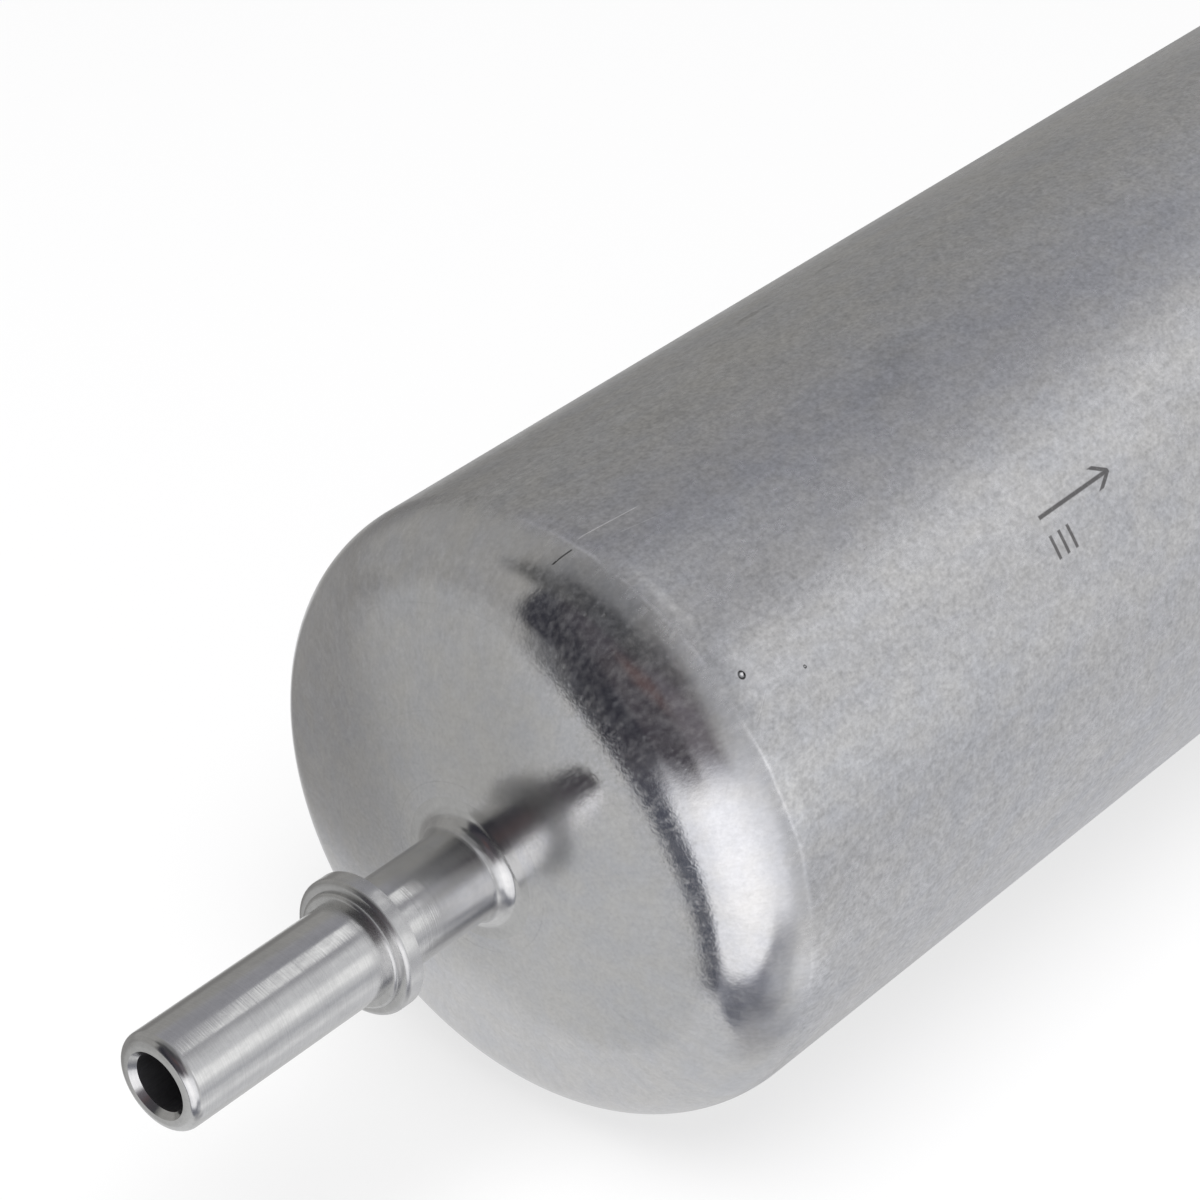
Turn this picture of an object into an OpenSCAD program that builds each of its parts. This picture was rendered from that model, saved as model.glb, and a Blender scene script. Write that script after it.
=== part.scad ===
// Diesel lift pump that sits in a fuel line, in millimetres.
// A one-piece can carries the inlet spigot. A moulded cover, held by the can's rolled rim,
// carries the outlet spigot and the electrical socket. A rubber-mounted motor with a gerotor
// pump is inside. The pump lies along X with its inlet at -X, its outlet at +X and its socket up.
// The origin is on the axis, in the middle of the can's straight wall, which a clamp holds.
// Inside the modules, z runs along the pump towards the outlet and x points up. A name that ends
// in _at is a place along z, from the foot of the can's shoulder. The domed end stands before it.

/* [Can] */
// Outside diameter of the can
can_d = 52; // [48:0.5:60]
// Thickness of the can's side wall
can_wall = 1.2; // [0.8:0.1:1.6]
// Thickness of the can's closed end, from the foot of the shoulder inwards
end_wall = 1.6; // [1:0.1:2.4]
// Length of the can from the foot of its shoulder to its rolled rim
can_len = 128; // [125:0.5:150]
// Outside radius of the shoulder round the closed end
shoulder_r = 7.5; // [5:0.1:9]
// Height of the domed end in front of the foot of the shoulder
crown_h = 3.4; // [2:0.1:5]
// Outside bend radius of the rolled rim
rim_bend_r = 2.4; // [2.1:0.1:3]
// Width of the flat that the rim has inside its bend
rim_flat_w = 1; // [0.6:0.1:1.6]

/* [Spigots] */
// Outside diameter of both spigots
spigot_d = 7.94; // [7.6:0.01:8.6]
// Bore through both spigots
spigot_bore_d = 4.7; // [3.4:0.1:5]
// Diameter of the countersink at the mouth
sink_d = 5.5; // [5.2:0.1:5.7]
// Depth of the countersink
sink_depth = 0.5; // [0.2:0.1:1]
// Radius of the rounded lead at the tip
tip_lead_r = 0.9; // [0.4:0.1:0.9]
// Diameter of the collar
collar_d = 11.2; // [10.6:0.1:13]
// Distance from the tip to the front edge of the collar's land
collar_at = 20.3; // [16:0.1:24]
// Width of the collar's land
collar_land_w = 1.1; // [0.6:0.1:2]
// Radius of the round in front of the land
collar_round_r = 0.45; // [0.2:0.05:0.5]
// Diameter of the small step in front of the collar
step_d = 9.5; // [9.2:0.1:9.9]
// Length of the small step
step_len = 0.45; // [0.35:0.05:1]
// Radius of the small step's front edge
step_round_r = 0.3; // [0.1:0.05:0.3]
// Diameter of the tube behind the collar
neck_d = 7.6; // [6.4:0.1:8.6]
// Radius of the fillet at the root
spigot_root_r = 1.5; // [1:0.1:4]
// Length of the inlet spigot from its tip to the top of the domed end
inlet_len = 32.2; // [26:0.1:42]
// Length of the outlet spigot from its tip to the cover's face
outlet_len = 33.6; // [28:0.1:45]

/* [End cover] */
// Length of the cover's skirt inside the can
skirt_len = 14.6; // [13:0.1:15]
// Thickness of the skirt
skirt_t = 4; // [3.4:0.1:5]
// Height of the cover's face above the can's rim
face_h = 4; // [2:0.1:8]
// Thickness of the cover's floor
floor_t = 5; // [3:0.1:6]
// Section of the seal between cover and can, as fitted
cover_seal_d = 2.2; // [1.6:0.1:2.4]
// Distance from the skirt's front edge to the middle of that seal
cover_seal_in = 5; // [3:0.1:8]
// Number of stiffening ribs inside the cover
rib_count = 6; // [4:2:6]
// Thickness of a stiffening rib
rib_t = 1.4; // [1:0.1:2]
// Height of the ribs on the cover's face
face_rib_h = 1.4; // [0.6:0.1:2.4]
// Width of the ribs on the cover's face
face_rib_w = 1.4; // [1:0.1:2.4]
// Size of the plus and minus marks beside the socket
mark_size = 2.6; // [2:0.1:3.6]
// Height of those marks
mark_h = 0.4; // [0.2:0.1:0.8]

/* [Electrical socket] */
// Gap between the socket and the edge of the cover's face
socket_edge_gap = 2.3; // [1.7:0.1:2.5]
// Inside of the socket along the radius
socket_in_h = 8; // [7:0.1:8.6]
// Inside of the socket across the radius
socket_in_w = 14.4; // [13:0.1:16]
// Wall of the socket
socket_wall = 1.3; // [1:0.1:2]
// Inside corner radius of the socket
socket_corner_r = 1.2; // [0.6:0.1:2]
// Height of the socket above the cover's face
socket_len = 18; // [16:0.1:24]
// Thickness of the socket's floor above the cover's face
socket_floor_t = 4; // [2:0.1:6]
// Width of a contact blade
blade_w = 2.8; // [2:0.1:3.2]
// Thickness of a contact blade
blade_t = 0.8; // [0.5:0.1:0.8]
// Distance between the two blades' middles
blade_pitch = 5; // [5:0.1:5.6]
// How far the blades stay below the socket's mouth
blade_down = 3; // [2:0.1:6]
// How far the blades' tails reach inside the cover
tail_len = 9; // [6:0.1:9.4]

/* [Pump module] */
// Room for the isolators' rubber between the case and the can
rubber_room = 3.3; // [2.8:0.1:3.6]
// Wall of the case
case_wall = 1.2; // [0.8:0.1:1.4]
// Room behind the module, up to the can's rim
rear_room = 24; // [22.6:0.1:24.6]
// How far the case's ends are turned in
case_lip_w = 2; // [1:0.1:2.6]
// Height of the rubber foot that holds the module off the can's end
foot_h = 8.4; // [7.6:0.1:9.6]
// Inside diameter of that foot
foot_d = 27; // [26:0.5:29]
// How far the front isolator reaches along the case
front_grip = 14; // [8:0.5:20]
// How far the rear isolator reaches along the case
rear_grip = 8; // [4:0.5:14]
// Thickness of the rear isolator's lip behind the case
rear_lip_t = 3; // [2:0.1:3.2]
// Number of flow grooves along each isolator
groove_count = 8; // [6:1:12]
// Width of a flow groove
groove_w = 5; // [3:0.1:6]
// Depth of a flow groove
groove_depth = 1.2; // [0.6:0.1:1.8]

/* [Strainer] */
// Height of the strainer's frame
strainer_h = 4; // [3:0.1:6]
// Width of the strainer's rim
strainer_rim_w = 1.8; // [1:0.1:3]
// Thickness of the strainer's spokes
spoke_t = 0.8; // [0.6:0.1:1.4]
// Width of the strainer's spokes
spoke_w = 1.2; // [0.8:0.1:2]
// Thickness of the strainer's mesh
mesh_t = 0.4; // [0.2:0.1:0.6]

/* [Gerotor] */
// Thickness of the plate on the inlet side
inlet_plate_t = 6; // [5:0.1:6.5]
// Width of the rotors
rotor_w = 8; // [6:0.1:8.5]
// Thickness of the plate on the outlet side
port_plate_t = 6; // [5:0.1:6.4]
// Lobes on the inner rotor
inner_lobes = 6; // [5:1:7]
// Distance between the two rotors' axes
rotor_offset = 1.4; // [1.2:0.05:1.5]
// Radius at which the outer rotor's lobes are centred
lobe_centre_r = 13; // [12.8:0.1:13.2]
// Radius of the outer rotor's lobes
lobe_r = 3.8; // [3.6:0.05:4]
// Wall of the outer rotor outside its deepest root
outer_rotor_wall = 2.5; // [2:0.1:3]
// Width of the kidney ports
kidney_w = 3; // [2:0.1:3.4]
// Angle that each kidney port spans
kidney_span = 130; // [90:1:140]
// Diameter of the two locating pins
pin_d = 2.5; // [2:0.1:3]
// Wall of the eccentric ring outside the locating pins
pin_wall = 0.85; // [0.6:0.05:1]
// How deep the locating pins go into each plate
pin_depth = 4; // [2:0.1:4.5]

/* [Armature] */
// Diameter of the shaft
shaft_d = 6; // [5:0.1:7]
// How deep the shaft's front end runs in the inlet plate
pilot_depth = 4; // [2:0.1:4.4]
// Outside diameter of the two bearing bushes
bush_d = 10; // [9:0.1:11]
// Length of the bearing bushes
bush_len = 7; // [5:0.1:7]
// Height of the port plate's boss
boss_h = 4; // [2:0.1:4.4]
// Wall of the port plate's boss round the bush
boss_wall = 2.3; // [1.4:0.1:2.4]
// Thickness of the thrust washers
washer_t = 0.8; // [0.5:0.1:1]
// Outside diameter of the thrust washers
washer_d = 10.4; // [9:0.1:12]
// Diameter of the pin that drives the inner rotor
drive_pin_d = 1.5; // [1.2:0.1:2]
// Length of that pin
drive_pin_len = 9.6; // [8:0.1:11]
// Air gap between the armature core and the magnets
air_gap = 0.65; // [0.4:0.05:1.2]
// Number of slots in the core, and of commutator bars
slot_count = 12; // [8:1:12]
// Width of a slot
slot_w = 2.6; // [1.8:0.1:2.8]
// Width of a slot's opening
slot_mouth_w = 1.2; // [0.8:0.1:1.6]
// Radius of the slots' floors
slot_floor_r = 8.4; // [8.2:0.1:9]
// Thickness of the pole tips that close the slots
pole_tip_t = 1.4; // [1:0.1:2]
// Length of the winding's bulge at each end of the core
end_turn_len = 6.5; // [5:0.1:8]
// Length over which the winding runs in to the commutator
run_in_len = 2.7; // [1.5:0.1:4]
// Diameter of the commutator
commutator_d = 16; // [15:0.1:16.6]
// Length of the commutator
commutator_len = 11; // [10.6:0.1:11.4]
// Thickness of the commutator's copper
bar_t = 2.8; // [2:0.1:3.2]
// Gap between two bars
bar_gap = 0.5; // [0.3:0.1:1]
// Height of the risers where the winding is joined on
riser_h = 1.2; // [0.6:0.1:1.4]
// Length of the risers
riser_len = 1.5; // [1:0.1:2]

/* [Magnets] */
// Radial thickness of the magnets
magnet_t = 5.2; // [4:0.1:5.3]
// How far the magnets run past the core at each end
magnet_past = 4.5; // [1:0.1:5]
// Angle that each magnet spans
magnet_span = 124; // [100:1:140]
// Sheet thickness of the clips between the magnets
clip_t = 0.6; // [0.4:0.1:1]
// How far the clips end short of the magnets at each end
clip_short = 2; // [0:0.5:6]

/* [Brushes] */
// Length of the solid part of the brush carrier
carrier_floor_t = 11.2; // [10.8:0.1:11.6]
// Wall of the carrier's open part
carrier_wall = 1.8; // [1.4:0.1:2.4]
// Length of the carrier's open part
carrier_open_len = 12.6; // [11.6:0.1:12.8]
// Size of a brush across the pump
brush_w = 5.5; // [4:0.1:6]
// Size of a brush along the pump
brush_h = 5; // [4:0.1:5.4]
// Length of a brush's spring as fitted
brush_spring_len = 4.2; // [3.9:0.1:5]
// Wall of the guides that hold the brushes
guide_wall = 1.2; // [0.8:0.1:1.4]
// Distance from the carrier's floor to the brushes' middle
brush_up = 5.6; // [5:0.1:6]
// Depth of the pocket in the carrier's wall that seats a brush spring
spring_pocket = 0.4; // [0.2:0.1:0.8]
// Wire diameter of the brush springs
brush_wire_d = 0.4; // [0.3:0.05:0.45]
// Coil diameter of the brush springs, middle to middle
brush_coil_d = 3.2; // [2.4:0.1:4]
// Turns of each brush spring
brush_turns = 4; // [3:1:4]
// Diameter of the chokes' cores
choke_d = 3; // [2.4:0.1:3.4]
// Length of the chokes' cores
choke_len = 12; // [10:0.1:12.4]
// Thickness of the chokes' windings
choke_wire_t = 0.7; // [0.4:0.1:1]
// Gap between the chokes and the carrier's wall
choke_gap = 1.3; // [0.6:0.1:2]
// Distance between the two chokes
choke_pitch = 12; // [11:0.1:13]

/* [Valves] */
// Outside diameter of the outlet nipple
nipple_d = 14; // [13.6:0.1:14.6]
// Length of the outlet nipple behind the brush carrier
nipple_len = 14; // [13.4:0.1:14.4]
// How far the nipple's foot stands out round it
nipple_foot_w = 4.5; // [3:0.1:4.7]
// Thickness of the nipple's foot
nipple_foot_t = 2; // [1.4:0.1:2.4]
// Bore of the nipple, in which the check valve moves
nipple_bore_d = 8.4; // [8.2:0.1:9]
// Section of the nipple's seal, as fitted
nipple_seal_d = 1.5; // [1.2:0.1:1.8]
// Distance from the nipple's end to the middle of its seal
nipple_seal_in = 5; // [3:0.1:6]
// How far the nipple reaches into the cover
nipple_lap = 9.3; // [8:0.1:9.6]
// Diameter of the hole that the check valve closes
check_hole_d = 4.4; // [3.6:0.1:5]
// Diameter of the check valve's head
check_head_d = 6.6; // [6:0.1:7.4]
// Thickness of the check valve's head
check_head_t = 1.5; // [1:0.1:2.4]
// Diameter of the check valve's stem
check_stem_d = 2; // [1.6:0.1:2.4]
// Distance from the check valve's seat to the middle of its retainer
check_retainer_up = 9; // [8:0.1:10]
// Thickness of the check valve's retainer
check_retainer_t = 1.6; // [1:0.1:2.4]
// Wire diameter of the check valve's spring
check_wire_d = 0.5; // [0.3:0.05:0.55]
// Coil diameter of the check valve's spring, middle to middle
check_coil_d = 4.6; // [4:0.1:5]
// Turns of the check valve's spring
check_turns = 5; // [4:1:5]
// Gap between the relief valve's bore and the case's turned-in end
relief_gap = 1.7; // [0.6:0.1:1.9]
// Diameter of the relief valve's ball
ball_d = 4; // [3.6:0.1:4.4]
// Diameter of the hole that the ball closes
relief_hole_d = 2.6; // [2:0.1:3]
// Length of that hole
relief_hole_len = 2; // [1:0.1:2.6]
// Wire diameter of the relief valve's spring
relief_wire_d = 0.5; // [0.3:0.05:0.5]
// Coil diameter of the relief valve's spring, middle to middle
relief_coil_d = 3; // [2:0.1:3.2]
// Turns of the relief valve's spring
relief_turns = 3; // [2:1:3]
// Thickness of the relief valve's plug
relief_plug_t = 1.9; // [1.2:0.1:2.4]
// Diameter of the flow hole in the plug
relief_drain_d = 1.8; // [1:0.1:2.4]

/* [Clearances] */
// Between shaft and bushes
running_fit = 0.03; // [0.01:0.01:0.06]
// Between outer rotor and its ring
rotor_fit = 0.05; // [0.02:0.01:0.08]
// Between the rotors' lobes
lobe_fit = 0.06; // [0.05:0.01:0.1]
// Between the rotors' faces and the plates
side_fit = 0.04; // [0.02:0.01:0.1]
// Between the parts in the case and its wall
case_fit = 0.1; // [0.02:0.01:0.15]
// Between rubber and what it holds
rubber_fit = 0.05; // [0:0.01:0.1]
// Between the cover and the can, and the nipple and the cover
cover_fit = 0.2; // [0.1:0.05:0.3]
// Between blades and what they are pushed into
blade_fit = 0.05; // [0.02:0.01:0.1]
// Between the brushes, valves and their guides
slide_fit = 0.1; // [0.05:0.01:0.15]
// Between a valve or brush and its seat at rest
seat_gap = 0.1; // [0.05:0.01:0.2]
// End play of the armature on each side
end_play = 0.1; // [0.05:0.05:0.3]

/* [Hidden] */

$fn = 96;
// How far a cut runs past the face that it opens
over = 0.5;

// Can
can_r = can_d / 2;
can_ir = can_r - can_wall;
shoulder_ir = shoulder_r - can_wall;
rim_bend_ir = rim_bend_r - can_wall;
rim_r = can_r - rim_bend_r - rim_flat_w;
rim_bend_at = can_len - rim_bend_r;
straight_mid_at = (shoulder_r + rim_bend_at) / 2;
shoulder_mid_r = can_r - shoulder_r;
crown_slope = asin(2 * crown_h * shoulder_mid_r / (shoulder_mid_r * shoulder_mid_r + crown_h * crown_h));
dome_r = shoulder_mid_r / sin(crown_slope) + shoulder_r;

// Spigots
spigot_r = spigot_d / 2;
bore_r = spigot_bore_d / 2;
neck_r = neck_d / 2;
collar_r = collar_d / 2;
step_r = step_d / 2;
root_r = neck_r + spigot_root_r;
root_slope = asin(root_r / dome_r);
root_at = dome_r * (1 - cos(root_slope));

// Module, from its front to its rear
case_r = can_ir - rubber_room;
case_ir = case_r - case_wall;
case_lip_r = case_ir - case_lip_w;
fill_r = case_ir - case_fit;
module_at = end_wall + foot_h;
module_end_at = can_len - rear_room;
inlet_plate_at = module_at + case_wall;
rotor_at = inlet_plate_at + inlet_plate_t;
port_plate_at = rotor_at + rotor_w;
port_plate_end_at = port_plate_at + port_plate_t;
boss_end_at = port_plate_end_at + boss_h;
carrier_end_at = module_end_at - case_wall;
carrier_floor_at = carrier_end_at - carrier_floor_t;
carrier_front_at = carrier_floor_at - carrier_open_len;

// Cover
skirt_r = can_ir - cover_fit;
skirt_ir = can_ir - skirt_t;
cover_bend_r = rim_bend_ir - cover_fit;
cover_shoulder_at = rim_bend_at + cover_bend_r;
skirt_front_at = cover_shoulder_at - skirt_len;
cover_face_at = can_len + face_h;
cover_floor_at = cover_face_at - floor_t;
cover_face_r = rim_r - cover_fit;
seal_side_gap = 0.3;
cover_seal_r = can_ir - cover_seal_d / 2;
cover_seal_at = skirt_front_at + cover_seal_in;
cover_groove_w = cover_seal_d + 2 * seal_side_gap;

// Nipple and its place in the cover
nipple_r = nipple_d / 2;
nipple_end_at = carrier_end_at + nipple_len;
nipple_end_gap = 0.8;
port_r = nipple_r + cover_fit;
port_wall = 2.8;
port_front_at = nipple_end_at - nipple_lap;
nipple_seal_r = port_r - nipple_seal_d / 2;
nipple_seal_at = nipple_end_at - nipple_seal_in;
nipple_groove_w = nipple_seal_d + 2 * seal_side_gap;

// Electrical socket and leads
socket_up = cover_face_r - socket_edge_gap - socket_wall - socket_in_h / 2;
socket_mouth_at = cover_face_at + socket_len;
socket_floor_at = cover_face_at + socket_floor_t;
blade_end_at = socket_mouth_at - blade_down;
tail_at = cover_floor_at - tail_len;
tab_root_depth = 4;
tab_len = 6.4;
tab_end_at = carrier_end_at + tab_len;
sleeve_wall = 0.55;
sleeve_lap = 4;
sleeve_past = 1;
lead_wire_r = 0.9;

// Rotors
pin_r = fill_r - pin_wall - pin_d / 2;
outer_lobes = inner_lobes + 1;
rotor_root_r = lobe_centre_r + 2 * rotor_offset - lobe_r;
outer_rotor_r = rotor_root_r + outer_rotor_wall;
rotor_steps = 20 * inner_lobes;
valley_crowding = 0.85;
kidney_out = 0.5;
kidney_r = lobe_centre_r - lobe_r + kidney_out;

// Armature
shaft_r = shaft_d / 2;
shaft_room = 1;
bush_r = bush_d / 2;
boss_r = bush_r + boss_wall;
front_bush_at = boss_end_at - bush_len;
rear_bush_at = carrier_floor_at;
shaft_front_at = rotor_at - pilot_depth + end_play;
shaft_short = 0.6;
shaft_end_at = rear_bush_at + bush_len - shaft_short;
front_washer_at = boss_end_at + end_play;
rear_washer_at = carrier_floor_at - end_play - washer_t;
drive_pin_down = 0.2;
drive_pin_at = port_plate_at - side_fit - drive_pin_d / 2 - drive_pin_down;
winding_gap = 0.8;
winding_at = front_washer_at + washer_t + winding_gap;
core_at = winding_at + end_turn_len;
slot_fill_gap = 0.1;
commutator_r = commutator_d / 2;
washer_gap = 0.1;
commutator_end_at = rear_washer_at - washer_gap;
commutator_at = commutator_end_at - commutator_len;
winding_end_at = commutator_at - run_in_len;
core_end_at = winding_end_at - end_turn_len;
core_len = core_end_at - core_at;
hub_r = commutator_r - bar_t;
riser_r = commutator_r + riser_h;

// Magnets
magnet_r = case_ir - case_fit / 2;
magnet_ir = magnet_r - magnet_t;
magnet_at = core_at - magnet_past;
magnet_len = core_len + 2 * magnet_past;
core_r = magnet_ir - air_gap;
slot_top_r = core_r - pole_tip_t;
clip_leg_span = 2;
clip_side_span = 1;
clip_leg_in = 1;

// Brushes
carrier_ir = fill_r - carrier_wall;
brush_at = carrier_floor_at - brush_up;
brush_face_r = commutator_r + seat_gap;
riser_gap = 0.4;
guide_end_r = riser_r + riser_gap;
spring_end_r = carrier_ir + spring_pocket;
brush_end_r = spring_end_r - brush_spring_len;
choke_r = choke_d / 2 + choke_wire_t;
choke_seat_depth = 2;
choke_up = sqrt(pow(carrier_ir - choke_gap - choke_r, 2) - pow(choke_pitch / 2, 2));

// Valves
relief_bore_r = ball_d / 2 + slide_fit;
relief_down = case_lip_r - relief_gap - relief_bore_r;
relief_seat_at = carrier_floor_at + relief_hole_len;
ball_at = relief_seat_at + sqrt(pow(ball_d / 2, 2) - pow(relief_hole_d / 2, 2)) + seat_gap;
relief_plug_at = carrier_end_at - relief_plug_t;
check_seat_at = carrier_end_at + nipple_foot_t;
check_head_at = check_seat_at + seat_gap;
check_retainer_at = check_seat_at + check_retainer_up - check_retainer_t / 2;
check_stem_len = check_retainer_up + check_retainer_t;
plenum_depth = 2.2;
feed_hole_r = 1.6;
feed_wall = 1;
feed_r = bush_r + feed_wall + feed_hole_r;
plenum_gap = 0.3;
plenum_r = feed_r + feed_hole_r + plenum_gap;
spring_seat_gap = 0.05;

function arc(centre, r, from, to, steps) =
    [for (i = [0:steps]) let (a = from + (to - from) * i / steps) centre + r * [cos(a), sin(a)]];

function turned(points) = [for (i = [len(points) - 1:-1:0]) points[i]];
function rest(points) = [for (i = [1:len(points) - 1]) points[i]];

// Outline of a spigot as [radius, distance behind its tip], from its root to its tip and bore
function spigot_outline(length) = let (
    step_at = collar_at - collar_round_r - step_len
) concat(
    arc([root_r, length - spigot_root_r], spigot_root_r, 90, 180, 8),
    [[neck_r, collar_at + collar_land_w], [collar_r, collar_at + collar_land_w]],
    arc([collar_r - collar_round_r, collar_at], collar_round_r, 0, -90, 5),
    [[step_r, collar_at - collar_round_r]],
    arc([step_r - step_round_r, step_at + step_round_r], step_round_r, 0, -90, 4),
    [[spigot_r, step_at]],
    arc([spigot_r - tip_lead_r, tip_lead_r], tip_lead_r, 0, -90, 6),
    [[sink_d / 2, 0], [bore_r, sink_depth]]
);

// Path of the outer rotor's lobe centres as the inner rotor sees it, and its outward normal
function lobe_path(a) = lobe_centre_r * [cos(a), sin(a)]
    + rotor_offset * [cos(outer_lobes * a), sin(outer_lobes * a)];
function lobe_normal(a) = let (
    dx = -lobe_centre_r * sin(a) - outer_lobes * rotor_offset * sin(outer_lobes * a),
    dy = lobe_centre_r * cos(a) + outer_lobes * rotor_offset * cos(outer_lobes * a)
) [dy, -dx] / norm([dx, dy]);
// The steps crowd into the valleys, where the path turns fastest
function lobe_angle(i) = let (even = 360 * i / rotor_steps)
    even + valley_crowding * sin(inner_lobes * even) * 180 / PI / inner_lobes;
inner_outline = [for (i = [0:rotor_steps - 1]) let (a = lobe_angle(i))
    lobe_path(a) - (lobe_r + lobe_fit) * lobe_normal(a)];

module along_pump() {
    translate([-straight_mid_at, 0, 0]) rotate([0, 90, 0]) rotate([0, 0, 180]) children();
}

module revolved(points) {
    rotate_extrude() polygon(points);
}

module rod(r, from, to) {
    translate([0, 0, from]) cylinder(r = r, h = to - from);
}

module ring(r_in, r_out, from, to) {
    rotate_extrude() translate([r_in, from]) square([r_out - r_in, to - from]);
}

// Part of a ring, centred on the direction of x
module sector(r_in, r_out, from, to, span) {
    rotate([0, 0, -span / 2]) rotate_extrude(angle = span)
        translate([r_in, from]) square([r_out - r_in, to - from]);
}

// Copies at equal angles, the first at first_angle
module around(count, first_angle = 0) {
    for (i = [0:count - 1]) rotate([0, 0, first_angle + 360 * i / count]) children();
}

// Box between two corners
module block(low, high) {
    translate(low) cube(high - low);
}

// A wound spring from z = 0 to z = length
module spring(coil_r, wire_d, turns, length) {
    sides = 6;
    steps = 14;
    rings = turns * steps;
    rise = (length - wire_d) / turns;
    points = [for (i = [0:rings], k = [0:sides - 1]) let (
        a = 360 * i / steps,
        b = 360 * k / sides,
        slope = atan2(rise, 2 * PI * coil_r),
        out = coil_r + wire_d / 2 * cos(b),
        side = wire_d / 2 * sin(b)
    ) [
        out * cos(a) + side * sin(slope) * sin(a),
        out * sin(a) - side * sin(slope) * cos(a),
        wire_d / 2 + rise * i / steps + side * cos(slope)
    ]];
    walls = [for (i = [0:rings - 1], k = [0:sides - 1]) let (
        p = i * sides + k,
        q = i * sides + (k + 1) % sides
    ) each [[p, q, q + sides], [p, q + sides, p + sides]]];
    first_end = [for (k = [1:sides - 2]) [0, k + 1, k]];
    last_end = [for (k = [1:sides - 2]) let (e = rings * sides) [e, e + k, e + k + 1]];
    polyhedron(points, concat(walls, first_end, last_end), convexity = 10);
    echo("spring: least gap between its turns", rise * cos(atan2(rise, 2 * PI * coil_r)) - wire_d);
}

// Flat blade that stands on x, with a pointed end
module blade(y, from, to) {
    point_len = 1.2;
    point_w = blade_w * 0.45;
    translate([socket_up, y, 0]) rotate([90, 0, 0])
        linear_extrude(height = blade_t, center = true) polygon([
            [-blade_w / 2, from], [blade_w / 2, from], [blade_w / 2, to - point_len],
            [point_w / 2, to], [-point_w / 2, to], [-blade_w / 2, to - point_len]
        ]);
}

// Room for a blade
module blade_slot(y, from, to) {
    block(
        [socket_up - blade_w / 2 - blade_fit, y - blade_t / 2 - blade_fit, from],
        [socket_up + blade_w / 2 + blade_fit, y + blade_t / 2 + blade_fit, to]
    );
}

module rounded_box(h, w, corner_r, from, to) {
    translate([socket_up, 0, from]) linear_extrude(height = to - from) hull()
        for (x = [-1, 1], y = [-1, 1])
            translate([x * (h / 2 - corner_r), y * (w / 2 - corner_r)])
                circle(r = corner_r, $fn = 32);
}

module can() {
    color([0.76, 0.76, 0.77]) along_pump() revolved(concat(
        [[bore_r, end_wall]],
        [for (p = turned(spigot_outline(inlet_len + root_at))) [p[0], p[1] - inlet_len - crown_h]],
        rest(arc([0, dome_r - crown_h], dome_r, root_slope - 90, crown_slope - 90, 12)),
        rest(arc([shoulder_mid_r, shoulder_r], shoulder_r, crown_slope - 90, 0, 20)),
        arc([can_r - rim_bend_r, rim_bend_at], rim_bend_r, 0, 90, 8),
        [[rim_r, can_len], [rim_r, can_len - can_wall]],
        arc([can_r - rim_bend_r, rim_bend_at], rim_bend_ir, 90, 0, 6),
        arc([can_ir - shoulder_ir, end_wall + shoulder_ir], shoulder_ir, 0, -90, 16)
    ));
}

// Bars of a plus or a minus, beside the blade that it belongs to
module polarity_mark(side, turns) {
    stroke_w = 0.6;
    for (turn = turns)
        translate([socket_up, side * (socket_in_w / 2 + socket_wall + mark_size), cover_face_at])
            rotate([0, 0, turn]) block(
                [-mark_size / 2, -stroke_w / 2, -over], [mark_size / 2, stroke_w / 2, mark_h]
            );
}

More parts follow.
